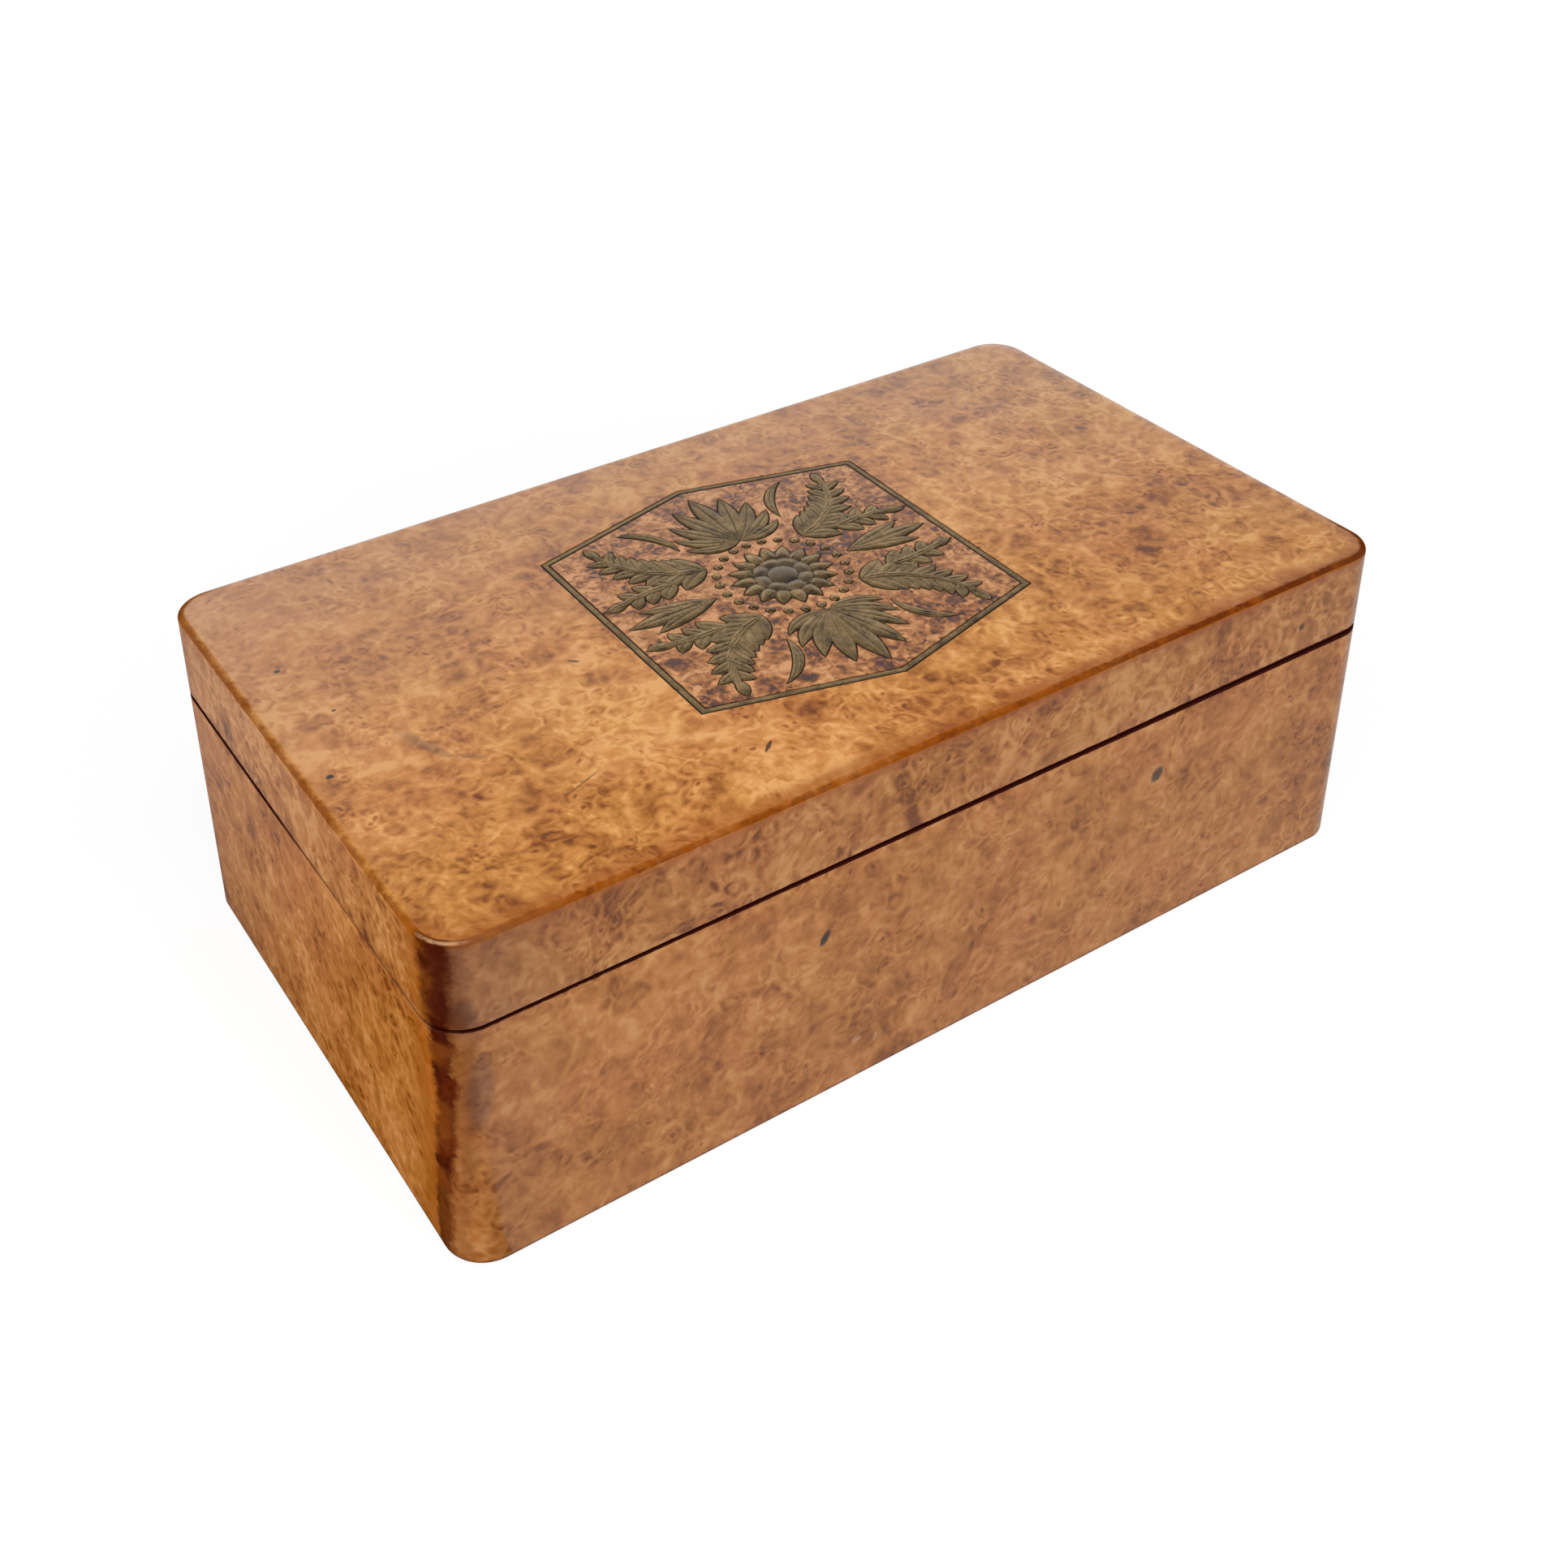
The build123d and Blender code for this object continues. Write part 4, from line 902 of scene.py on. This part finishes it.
def top_veneer():
    """The plate of veneer round the border: rays from the centre meet the hexagon and the box's rounded
    outline, and a closed section between the two is carried round: window wall, top, arris of a quarter
    circle whose radius wanders a little, edge and underside."""
    window = inset_corners(-glue_line)
    corner_angles = np.arctan2(window[:, 1], window[:, 0])
    angles = np.sort(np.concatenate([np.linspace(-np.pi, np.pi, 900, endpoint=False), corner_angles]))
    ray = np.stack([np.cos(angles), np.sin(angles)], -1)
    start, end = window, np.roll(window, -1, axis=0)
    side_normal = np.stack([(end - start)[:, 1], -(end - start)[:, 0]], -1)
    side_normal /= np.linalg.norm(side_normal, axis=1)[:, None]
    side_distance = np.einsum("ij,ij->i", start, side_normal)
    towards = ray @ side_normal.T
    inner_reach = np.where(towards > 1e-6, side_distance / np.maximum(towards, 1e-6), np.inf).min(1)
    inner = ray * inner_reach[:, None]

    flat = np.minimum(half_length / np.maximum(np.abs(ray[:, 0]), 1e-9),
                      half_depth / np.maximum(np.abs(ray[:, 1]), 1e-9))
    outer = ray * flat[:, None]
    centre = np.sign(ray) * np.array([half_length - corner_radius, half_depth - corner_radius])
    in_corner = (np.abs(outer) > np.abs(centre)).all(1)
    towards_centre = np.einsum("ij,ij->i", ray, centre)
    root = towards_centre**2 - (centre**2).sum(1) + corner_radius**2
    curved = towards_centre + np.sqrt(np.maximum(root, 0.0))
    outer = np.where(in_corner[:, None], ray * curved[:, None], outer)
    on_end = np.abs(outer[:, 0]) > half_length - 1e-6
    straight_normal = np.where(on_end[:, None], [1.0, 0.0], [0.0, 1.0]) * np.sign(outer)
    normal = np.where(in_corner[:, None], (outer - centre) / corner_radius, straight_normal)
    normal /= np.linalg.norm(normal, axis=1)[:, None]

    wander = sway(outer[:, 0], outer[:, 1], 0.0 * outer[:, 0], 30.0, 5)
    radius = (arris_radius * (1.0 + 0.09 * wander))[:, None, None]
    bend = np.radians(np.linspace(0.0, 90.0, 7))
    shoulder = outer[:, None, :] - normal[:, None, :] * radius
    across = np.linspace(0.0, 1.0, 36)[None, :, None]
    top = inner[:, None, :] + (shoulder - inner[:, None, :]) * across
    height = top_level + veneer_sway * sway(top[..., 0], top[..., 1], 0.0, 60.0, 3) * (
        np.sin(np.pi * across[..., 0]) ** 0.5)
    top = np.concatenate([top, height[..., None]], -1)
    turned = shoulder + normal[:, None, :] * radius * np.sin(bend)[None, 1:, None]
    turned_height = top_level - radius[..., 0] * (1.0 - np.cos(bend))[None, 1:]
    turned = np.concatenate([turned, turned_height[..., None]], -1)
    foot = np.concatenate([outer, np.full((len(outer), 1), core_level)], -1)[:, None, :]
    wall = np.concatenate([inner, np.full((len(inner), 1), core_level)], -1)[:, None, :]
    grid = np.concatenate([wall, top, turned, foot], 1)
    piece("lid_top_burr", [shell(grid, closed_rows=True)], burr_top, "lid", ["lid_top_veneer"])


top_veneer()


# Brass border and ornament

def inlay(name, shells, node):
    """A brass piece let into the lid's top."""
    piece(name, shells, inlay_brass, "lid", [node])


def on_core(top, dirt_and_shade, along):
    """A relief's grid, closed by an underside on the veneer's core, and its spread."""
    under = top[:, [-1, 0]].copy()
    under[..., 2] = core_level
    dirt_and_shade = np.concatenate([dirt_and_shade, np.ones((len(top), 2))], 1)
    spread = np.stack([np.broadcast_to(along[:, None], dirt_and_shade.shape), dirt_and_shade], -1)
    return np.concatenate([top, under], 1), spread


def border_strip():
    """A flat strip round the hexagon: its section, eased along both edges and crowned by a few hundredths,
    is carried along the sides between mitred corners."""
    across = np.array([0.0, 0.0, 0.12, 0.6, 1.1, 1.6, 2.08, 2.2, 2.2]) * border_strip_width / 2.2
    height = top_level + np.array([0.0, -0.1, 0.0, 0.03, 0.05, 0.03, 0.0, -0.1, 0.0])
    height[[0, -1]] = core_level
    corners = np.stack([inset_corners(distance) for distance in across], 1)
    stations = np.linspace(0.0, 1.0, 20, endpoint=False)[None, :, None, None]
    ends = np.roll(corners, -1, axis=0)[:, None]
    plan = (corners[:, None] + (ends - corners[:, None]) * stations).reshape(-1, len(across), 2)
    level = np.broadcast_to(height, plan.shape[:2]).copy()
    level[:, 1:-1] += 0.04 * sway(plan[:, 1:-1, 0], plan[:, 1:-1, 1], 0.0, 22.0, 8)
    grid = np.concatenate([plan, level[..., None]], -1)
    # Dirt and painted shade along both edges of the strip.
    edge = np.broadcast_to([1.0, 1.0, 0.95, 0.1, 0.0, 0.1, 0.9, 1.0, 1.0], level.shape)
    spread = np.stack([np.broadcast_to(np.linspace(0, 1, len(level))[:, None], level.shape), edge], -1)
    inlay("border_strip", [shell(grid, closed_rows=True, spread=spread)], "inlay_border")


def arc_height(along, length, sagitta):
    """Height of a circular arc over its chord, at places along the chord."""
    if abs(sagitta) < 1e-6:
        return np.zeros_like(along)
    radius = (length**2 / 4 + sagitta**2) / (2 * abs(sagitta))
    return np.sign(sagitta) * (np.sqrt(radius**2 - (along - length / 2) ** 2) - radius + abs(sagitta))


def leaflet(root, heading, length, width, bend=0.0, relief=0.22, veins=7):
    """A pointed leaflet in low relief. In plan it lies between two circular arcs from root to tip. Across
    it the height is a flattened dome, 1 - v to the fourth, less a groove along the midrib and slanting
    grooves for the side veins, and it fades to the veneer's level at root and tip."""
    u = np.linspace(0.012, 0.988, 26)
    v = np.array([-1.0, -0.93, -0.72, -0.45, -0.2, -0.09, 0.0, 0.09, 0.2, 0.45, 0.72, 0.93, 1.0])
    along = u * length
    left = arc_height(along, length, bend + width / 2)
    right = arc_height(along, length, bend - width / 2)
    side = right[:, None] + (left - right)[:, None] * (v + 1) / 2
    fade = np.clip(np.minimum(u / 0.18, (1 - u) / 0.3), 0, 1)[:, None] ** 0.7
    dome = (1 - np.abs(v) ** 4)[None, :] * fade
    midrib = np.exp(-((v / 0.1) ** 2))[None, :] * fade
    slant = 0.5 + 0.5 * np.cos(2 * np.pi * (veins * u[:, None] - 1.5 * np.abs(v)[None, :]))
    vein = slant**3 * np.clip(np.abs(v) * 3, 0, 1)[None, :] * (1 - np.abs(v) ** 8)[None, :] * fade
    height = top_level + relief * dome - 0.4 * relief * midrib - 0.25 * relief * vein
    height -= 0.08 * (np.abs(v) > 0.99)[None, :]
    # Dirt and painted shade at the edges, in the midrib and veins, and towards root and tip.
    dirt_and_shade = np.clip(np.maximum(np.abs(v)[None, :] ** 8, 0.5 * midrib) + 0.2 * vein + (1 - fade) * 0.4, 0, 1)
    turn = np.radians(heading)
    x = root[0] + along[:, None] * np.cos(turn) - side * np.sin(turn)
    y = root[1] + along[:, None] * np.sin(turn) + side * np.cos(turn)
    return on_core(np.stack([x, y, height], -1), dirt_and_shade, u)


def reflected(leaves, mirrors):
    """Shells of the leaves and of their reflections: mirrors are pairs of signs for x and y."""
    flips = [np.array([*signs, 1.0]) for signs in mirrors]
    return [shell(grid * flip, spread=spread) for flip in flips for grid, spread in leaves]


def branch(root, heading, turn, pairs, step, length, width, end_size):
    """Leaves of a curling branch: pairs of leaflets on a stem that turns at each step and dwindles."""
    leaves = []
    x, y = root
    for i in range(pairs):
        size = 1 - (1 - end_size) * i / (pairs - 1)
        leaves.append(leaflet((x, y), heading, stem_reach * step, stem_width * size, relief=0.32, veins=3))
        for hand in (-1, 1):
            side = heading + hand * leaf_spread
            leaves.append(leaflet((x, y), side, length * size, width * size, -hand * leaf_bend * size))
        x += step * np.cos(np.radians(heading))
        y += step * np.sin(np.radians(heading))
        heading += turn
    leaves.append(leaflet((x, y), heading, length * end_size, width * end_size))
    return leaves


def fan(root, heading, length, width, spread, side_leaves, taper, bend):
    """Leaves of a fan, each shorter and more bent the further it lies from the middle one."""
    leaves = []
    for i in range(-side_leaves, side_leaves + 1):
        size = 1 - taper * abs(i)
        relief = 0.34 - 0.03 * abs(i)
        leaves.append(leaflet(root, heading + i * spread, length * size, width * size, bend * i, relief, 10))
    return leaves


def rosette():
    """A fluted rosette on a polar grid. Its outline is the larger of a disc and of the leaflet's arc, which
    in polar form is L cos a - 2 (R - h) sin a for an angle a from a petal's middle. Its height is a boss,
    a ring of eight small petals and sixteen flutes, each a rounded rib between V grooves."""
    count = rosette_petals * 12
    angle = np.arange(count) * 2 * np.pi / count
    pitch = 2 * np.pi / rosette_petals
    offset = np.abs(angle % pitch - pitch / 2)
    half_width = rosette_petal_width / 2
    petal_radius = (rosette_radius**2 / 4 + half_width**2) / (2 * half_width)
    arc = rosette_radius * np.cos(offset) - 2 * (petal_radius - half_width) * np.sin(offset)
    outline = np.maximum(arc, rosette_radius - half_width)
    share = np.concatenate([[0.004], np.linspace(0.03, 0.985, 44), [1.0]])
    r = share[None, :] * outline[:, None]
    rib = np.cos(np.pi * offset / pitch)[:, None]
    boss = np.sqrt(np.clip(1 - (r / boss_radius) ** 2, 0, 1))
    small_petals = 0.35 + 0.65 * np.abs(np.cos(4 * angle))[:, None]
    inner = np.clip(1 - np.abs(r - small_petal_radius) / small_petal_reach, 0, 1) ** 0.6 * small_petals
    rise = np.clip((r - flute_start) / 1.2, 0, 1) * np.clip((1 - share[None, :]) / 0.22, 0, 1) ** 0.7
    flute = rise * (0.2 + 0.8 * np.clip(rib, 0, 1) ** 1.2)
    vein = rise * np.exp(-((offset[:, None] * r / 0.32) ** 2))
    highest = np.maximum(boss * 0.9, np.maximum(inner * 0.62, flute * 0.66 - vein * 0.14))
    height = 0.98 * rosette_relief * highest
    # Dirt and painted shade in the low parts.
    dirt_and_shade = np.clip(0.9 - height / (0.30 * rosette_relief), 0, 1)
    grid, spread = on_core(carried_round(angle, r, top_level - 0.06 + height), dirt_and_shade, angle / (2 * np.pi))
    inlay("rosette", [shell(grid, closed_rows=True, spread=spread)], "inlay_rosette")


def pearls():
    """A ring of pearls: each a quarter-round dome on a disc."""
    angle = np.linspace(0, 2 * np.pi, 20, endpoint=False)
    bend = np.radians(np.linspace(3.0, 90.0, 8))
    r = pearl_radius * np.concatenate([np.sin(bend), [1.0, 0.04]])
    level = np.concatenate([top_level - 0.05 + 0.5 * np.cos(bend), [core_level, core_level]])
    # Dirt and painted shade round each pearl's rim.
    dirt_and_shade = np.broadcast_to((r / pearl_radius) ** 8, (len(angle), len(r)))
    spread = np.stack([np.broadcast_to(angle[:, None], dirt_and_shade.shape), dirt_and_shade], -1)
    shells = []
    for place in np.arange(pearl_count) * 2 * np.pi / pearl_count:
        centre = pearl_ring_radius * np.array([np.cos(place), np.sin(place)])
        shells.append(shell(carried_round(angle, r, level, centre), closed_rows=True, spread=spread))
    inlay("pearls", shells, "inlay_pearls")


border_strip()
rosette()
pearls()
quarters = [(1, 1), (-1, 1), (-1, -1), (1, -1)]
inlay("sprays", reflected(branch(**spray) + branch(**twig), quarters), "inlay_sprays")
inlay("palmettes", reflected(fan(**palmette), [(1, 1), (1, -1)]), "inlay_palmettes")
inlay("fleurons", reflected(fan(**fleuron), [(1, 1), (-1, 1)]), "inlay_fleurons")
inlay("tendrils", reflected([leaflet(**tendril)], quarters), "inlay_tendrils")


# Hygrometer

def knurled_bezel():
    """The gauge's bezel: a section carried round a circle, whose outer edge is cut into fine flutes, a
    cosine of the angle that fades towards both faces."""
    flutes = 110
    angle = np.linspace(0, 2 * np.pi, flutes * 6, endpoint=False)
    height = panel_level - bezel_low[2]
    ledge = -height + bezel_ledge_height
    bend = np.radians(np.linspace(0.0, 90.0, 7))
    round_r = bezel_radius - 1.3 + 1.3 * np.cos(bend)
    round_z = -height + 1.3 - 1.3 * np.sin(bend)
    sight = bezel_sight_radius
    face_r = [21.2, 20.8, 20.4, 19.4, sight, sight, bezel_seat_radius]
    face_z = [-height, -height + 0.25, -height + 0.05, -height, -height + 0.35, ledge, ledge]
    r = np.concatenate([[bezel_seat_radius, bezel_radius, bezel_radius], round_r, face_r])
    z = np.concatenate([[0.0, 0.0, -0.5], round_z, face_z])
    knurl = np.concatenate([[0.0, 0.0, 1.0], np.linspace(1.0, 0.0, 7), np.zeros(7)])
    cut = 0.12 * (1 - np.cos(flutes * angle))[:, None] * knurl
    grid = carried_round(angle, r - cut, panel_level + z, dial_centre)
    ring = shell(grid, closed_rows=True)
    piece("knurled_bezel", [ring], gauge_brass, "lid", ["hygrometer_bezel"])


def dial_direction(reading):
    """Direction of a reading on the dial, whose top lies towards the front of the box."""
    return np.radians(-90.0 - dial_sweep / 2 + dial_sweep * reading / 100.0)


def dial_block(inner, outer, start, end, steps=2, thickness=0.03):
    """A thin printed block on the dial between two radii and two directions."""
    r = np.array([inner, outer, outer, inner])
    level = dial_face + np.array([0.0, 0.0, -thickness, -thickness])
    return shell(carried_round(np.linspace(start, end, steps), r, level, dial_centre))


def dial_print(ink, green):
    """Ticks every two parts, longer every ten, a fine ring, and a green arc from 65 to 75."""
    blocks = [dial_block(*dial_ring_radii, dial_direction(0), dial_direction(100), 120)]
    for reading in range(0, 101, 2):
        start_radius, half_width = (14.6, 0.013) if reading % 10 == 0 else (15.7, 0.007)
        middle = dial_direction(reading)
        blocks.append(dial_block(start_radius, tick_end_radius, middle - half_width, middle + half_width))
    piece("dial_marks", blocks, ink, "lid")
    arc = dial_block(*dial_arc_radii, dial_direction(65), dial_direction(75), 30)
    piece("dial_arc", [arc], green, "lid")


def dial_number(reading, ink):
    """A number on the dial, upright when the open lid is seen from the front."""
    curve = bpy.data.curves.new(f"number_{reading}", "FONT")
    curve.body = str(reading)
    curve.size = number_size / 1000.0
    curve.extrude = 0.00002
    curve.align_x = "CENTER"
    curve.align_y = "CENTER"
    made = placed(f"dial_number_{reading}", curve)
    bpy.context.view_layer.update()
    mesh = bpy.data.meshes.new_from_object(made.evaluated_get(bpy.context.evaluated_depsgraph_get()))
    bpy.data.objects.remove(made)
    direction = dial_direction(reading)
    centre = dial_centre + number_radius * np.array([np.cos(direction), np.sin(direction)])
    place = np.empty(len(mesh.vertices) * 3, dtype=np.float32)
    mesh.vertices.foreach_get("co", place)
    place = place.reshape(-1, 3) * np.array([1.0, -1.0, -1.0])
    place += np.array([centre[0], centre[1], dial_face - 0.02]) / 1000.0
    mesh.vertices.foreach_set("co", place.astype(np.float32).ravel())
    mesh.update()
    mesh.materials.clear()
    mesh.materials.append(ink)
    number = placed(f"dial_number_{reading}", mesh)
    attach(number, "lid")


black_ink = printed_ink("black_ink", (0.02, 0.02, 0.02))
green_ink = printed_ink("green_ink", (0.02, 0.16, 0.05))
knurled_bezel()
dial_print(black_ink, green_ink)
for reading in range(0, 101, 20):
    dial_number(reading, black_ink)


# Sponge and baize

def foam_disc():
    """The sponge: a low disc with rounded edges on a polar grid, its faces pitted by a few tenths."""
    radius = (sponge_high[0] - sponge_low[0]) / 2
    low, high = sponge_low[2], sponge_high[2]
    ease = 1.0
    angle = np.linspace(0, 2 * np.pi, 180, endpoint=False)
    bend = np.radians(np.linspace(0, 90, 5))
    face = np.linspace(0.02, 1.0, 40) * (radius - ease)
    back = face[:0:-8]
    r = np.concatenate([
        face,
        radius - ease + ease * np.sin(bend[1:]),
        radius - ease + ease * np.cos(bend),
        back,
        [0.5],
    ])
    z = np.concatenate([
        np.full(len(face), low),
        low + ease * (1 - np.cos(bend[1:])),
        high - ease * (1 - np.sin(bend)),
        np.full(len(back) + 1, high),
    ])
    grid = carried_round(angle, r, z, cup_centre)
    pitted = grid[:, :len(face)]
    pitted[..., 2] += 0.2 * np.abs(sway(pitted[..., 0], pitted[..., 1], 0.0, 3.0, 21))
    disc = shell(grid, closed_rows=True)
    made = piece("foam_disc", [disc], green_foam(), "lid", ["humidifier_sponge"])


def baize_sheet():
    """The baize under the box: a rounded rectangle of cloth, carried in from its edge to its middle in
    loops that shrink, with a soft rounded edge and a nap of a few hundredths."""
    low, high = node_box("baize_pad")
    half = high[:2]
    radius = corner_radius - (half_length - half[0])
    directions, centres = quarter_circles(half, radius, 0.0)
    loop = centres + radius * np.stack([np.cos(directions), np.sin(directions)], -1)
    step = np.linalg.norm(np.roll(loop, -1, axis=0) - loop, axis=1)
    fine = np.concatenate([a + (b - a) * np.linspace(0, 1, max(1, int(d / 4)), endpoint=False)[:, None]
                           for a, b, d in zip(loop, np.roll(loop, -1, axis=0), step)])
    shares = np.linspace(0.0, 0.985, 16)
    side = np.array([0.985, 0.996, 1.0, 0.996, 0.985])
    share = np.concatenate([shares[:-1], side, shares[-2::-1]])
    share = np.maximum(share, 0.004)
    heights = np.concatenate([np.zeros(15), [0.0, 0.2, 0.5, 0.8, 1.0], np.ones(15)]) * (high[2] - low[2])
    plan = fine[:, None, :] * share[None, :, None]
    level = np.broadcast_to(heights, plan.shape[:2])
    grid = np.concatenate([plan, level[..., None]], -1)
    cloth = shell(grid, closed_rows=True)
    made = piece("baize_sheet", [cloth], baize_cloth(), "base", ["baize_pad"])


def seam_dust():
    """A dark strip of painted shade in the seam, just inside the veneer along both ends and the front: a
    section 0.7 wide, carried round the outline's four corners on the base's rim. It stops short of the
    hinges."""
    directions, centres = quarter_circles((half_length, half_depth), corner_radius, 90.0)
    radius = corner_radius - veneer - np.array([0.3, 1.0, 1.0, 0.3])
    level = np.array([rim_level, rim_level, lid_rim_level - 0.05, lid_rim_level - 0.05])
    # The strip's dark colour is painted shade.
    film = printed_ink("seam_shade_ink", (0.020, 0.008, 0.005))
    piece("seam_dust", [shell(carried_round(directions, radius, level, centres.T[..., None]))], film, "base")


foam_disc()
baize_sheet()
seam_dust()


# Softened arrises of the boards

def soften(node, width):
    """Eases a board's arrises by joining its loose triangles and bevelling what is sharp."""
    weld = nodes[node].modifiers.new("weld", "WELD")
    weld.merge_threshold = 0.000005
    bevel = nodes[node].modifiers.new("ease", "BEVEL")
    bevel.width = width / 1000.0
    bevel.segments = 2
    bevel.limit_method = "ANGLE"
    bevel.angle_limit = sharp_angle
    bevel.harden_normals = False


for side in side_turns:
    soften(f"base_{side}_board", 0.25)
    soften(f"lid_{side}_rail", 0.25)
    soften(f"cedar_{side}_lining", 0.25)
    soften(f"lid_{side}_cedar_strip", 0.25)
soften("divider", 0.35)
soften("cedar_floor", 0.35)


# Stage, camera and light

def stage_plate(left, right, front, back, level, material):
    """A flat plate in metres, for the stage."""
    mesh = bpy.data.meshes.new("plate")
    corners = [(left, front, level), (right, front, level), (right, back, level), (left, back, level)]
    mesh.from_pydata(corners, [], [(0, 1, 2, 3)])
    mesh.materials.append(material)
    return mesh


def stage_floor():
    """A wide floor, white to the camera but for a faint shadow, and a plain white surface to light."""
    material = new_material("floor_white")
    path = add("LightPath", {}, material.node_tree).outputs
    seen = either(path["Is Camera Ray"], path["Is Glossy Ray"], path["Is Transmission Ray"])
    diffuse = add("BsdfDiffuse", {"Color": (0.8, 0.8, 0.8, 1.0)}, material.node_tree).outputs[0]
    brightness = total(floor_glow, (path["Is Glossy Ray"], floor_reflection - floor_glow))
    glow = add("Emission", {"Color": (1.0, 1.0, 1.0, 1.0), "Strength": brightness}).outputs[0]
    share = times(seen, band(length_of(place_on(material)), 250.0, 600.0, 0.8, 1.0))
    mixed = add("MixShader", {0: share, 1: diffuse, 2: glow}).outputs[0]
    add("OutputMaterial", {"Surface": mixed})
    floor = placed("floor", stage_plate(-6.0, 6.0, -6.0, 6.0, -0.0001, material))


def stage_card():
    """A dark card on the floor to the left of the box, which only reflections show. It fades to the floor's
    brightness towards its edges."""
    material = new_material("card_grey")
    x, y, _ = xyz(place_on(material))
    grey = band(y, -10.0, 190.0, 0.0, 0.30)
    front_right = times(band(x, -190.0, -148.0), band(y, -100.0, -140.0))
    rim = either(front_right, band(x, -290.0, -400.0), band(y, -140.0, -200.0), band(y, 260.0, 360.0))
    brightness = total(grey, (times(rim, less(floor_reflection, grey)), 1.0))
    add("OutputMaterial", {"Surface": add("Emission", {"Strength": brightness}).outputs[0]})
    card = placed("dark_card", stage_plate(-0.40, -0.146, -0.20, 0.36, 0.0, material))
    for sight in ("camera", "diffuse", "transmission", "volume_scatter", "shadow"):
        setattr(card, f"visible_{sight}", False)


def stage_world():
    """White to the camera and through glass. Reflections see a bright wall behind the box, whose upper edge
    slants down to the right, a dim room above it and a dimmer one in front. All else is lit by a plain
    soft white."""
    world = bpy.data.worlds.new("studio")
    bpy.context.scene.world = world
    world.use_nodes = True
    world.node_tree.nodes.clear()

    def either_of(share, a, b):
        return add("Mix", {0: share, 2: a, 3: b}, data_type="FLOAT").outputs[0]

    path = add("LightPath", {}, world.node_tree).outputs
    direction = add("TexCoord", {}, world.node_tree).outputs["Generated"]
    slant = add("VectorMath", {0: direction, 1: (0.34, 0.0, 1.0)}, operation="DOT_PRODUCT").outputs["Value"]
    wall = band(slant, 0.0, 0.56, 0.7, 2.15)
    room = either_of(band(slant, 0.56, 0.78), wall, 0.14)
    glossy = times(room, band(xyz(direction)[1], -0.3, 0.4, 0.3, 1.0))
    lit = either_of(path["Is Glossy Ray"], diffuse_level, glossy)
    seen = either(path["Is Camera Ray"], path["Is Transmission Ray"])
    strength = either_of(seen, lit, 1.0)
    background = add("Background", {"Color": (1.0, 1.0, 1.0, 1.0), "Strength": strength})
    add("OutputWorld", {"Surface": background.outputs[0]})


def soft_lamp(name, place, target, size, watts):
    """A square soft box at a place, aimed at a target, in metres and watts."""
    lamp = bpy.data.lights.new(name, "AREA")
    lamp.size = size
    lamp.energy = watts
    made = placed(name, lamp)
    made.visible_camera = False
    back = np.array(place) - np.array(target)
    aim(made, place, np.cross([0.0, 0.0, 1.0], back), back)


def aim(thing, place, right, back):
    """Puts a camera or lamp at a place, with a given right-hand side and its back to a given direction."""
    back = np.array(back) / np.linalg.norm(back)
    right = np.array(right) / np.linalg.norm(right)
    up = np.cross(back, right)
    matrix = np.eye(4)
    matrix[:3, 0], matrix[:3, 1], matrix[:3, 2], matrix[:3, 3] = right, up, back, place
    thing.matrix_world = matrix.T.tolist()


def photo_camera():
    """A camera at the photograph's viewing angle. The frame is 1932 pixels square."""
    frame_pixels = 1932.0
    azimuth, elevation, roll = np.radians([-32.32, 28.44, -1.04])
    distance = 0.558
    target = np.array([-0.0250, 0.0, 0.1623])
    focal_pixels = 2442.0
    centre_pixels = (875.0, 541.0)
    level = np.cos(elevation)
    back = np.array([np.sin(azimuth) * level, -np.cos(azimuth) * level, np.sin(elevation)])
    level_right = np.cross([0.0, 0.0, 1.0], back)
    level_right /= np.linalg.norm(level_right)
    right = np.cos(roll) * level_right + np.sin(roll) * np.cross(back, level_right)
    lens = bpy.data.cameras.new("camera")
    lens.sensor_width = 36.0
    lens.lens = focal_pixels * lens.sensor_width / frame_pixels
    lens.shift_x = (frame_pixels / 2 - centre_pixels[0]) / frame_pixels
    lens.shift_y = (centre_pixels[1] - frame_pixels / 2) / frame_pixels
    lens.clip_start, lens.clip_end = 0.01, 20.0
    camera = placed("camera", lens)
    aim(camera, target + back * distance, right, back)
    bpy.context.scene.camera = camera


diffuse_level = 0.41
floor_reflection = 0.6
floor_glow = 1.12
stage_floor()
stage_card()
stage_world()
soft_lamp("key", (-0.065, -0.235, 0.48), (-0.03, -0.02, 0.09), 0.3, 1.38)
soft_lamp("side", (-0.50, -0.14, 0.12), (-0.16, 0.0, 0.05), 0.25, 0.88)
soft_lamp("fill", (0.30, -0.35, 0.12), (0.12, -0.09, 0.05), 0.2, 0.2)
photo_camera()
bpy.context.scene.view_settings.view_transform = "Standard"
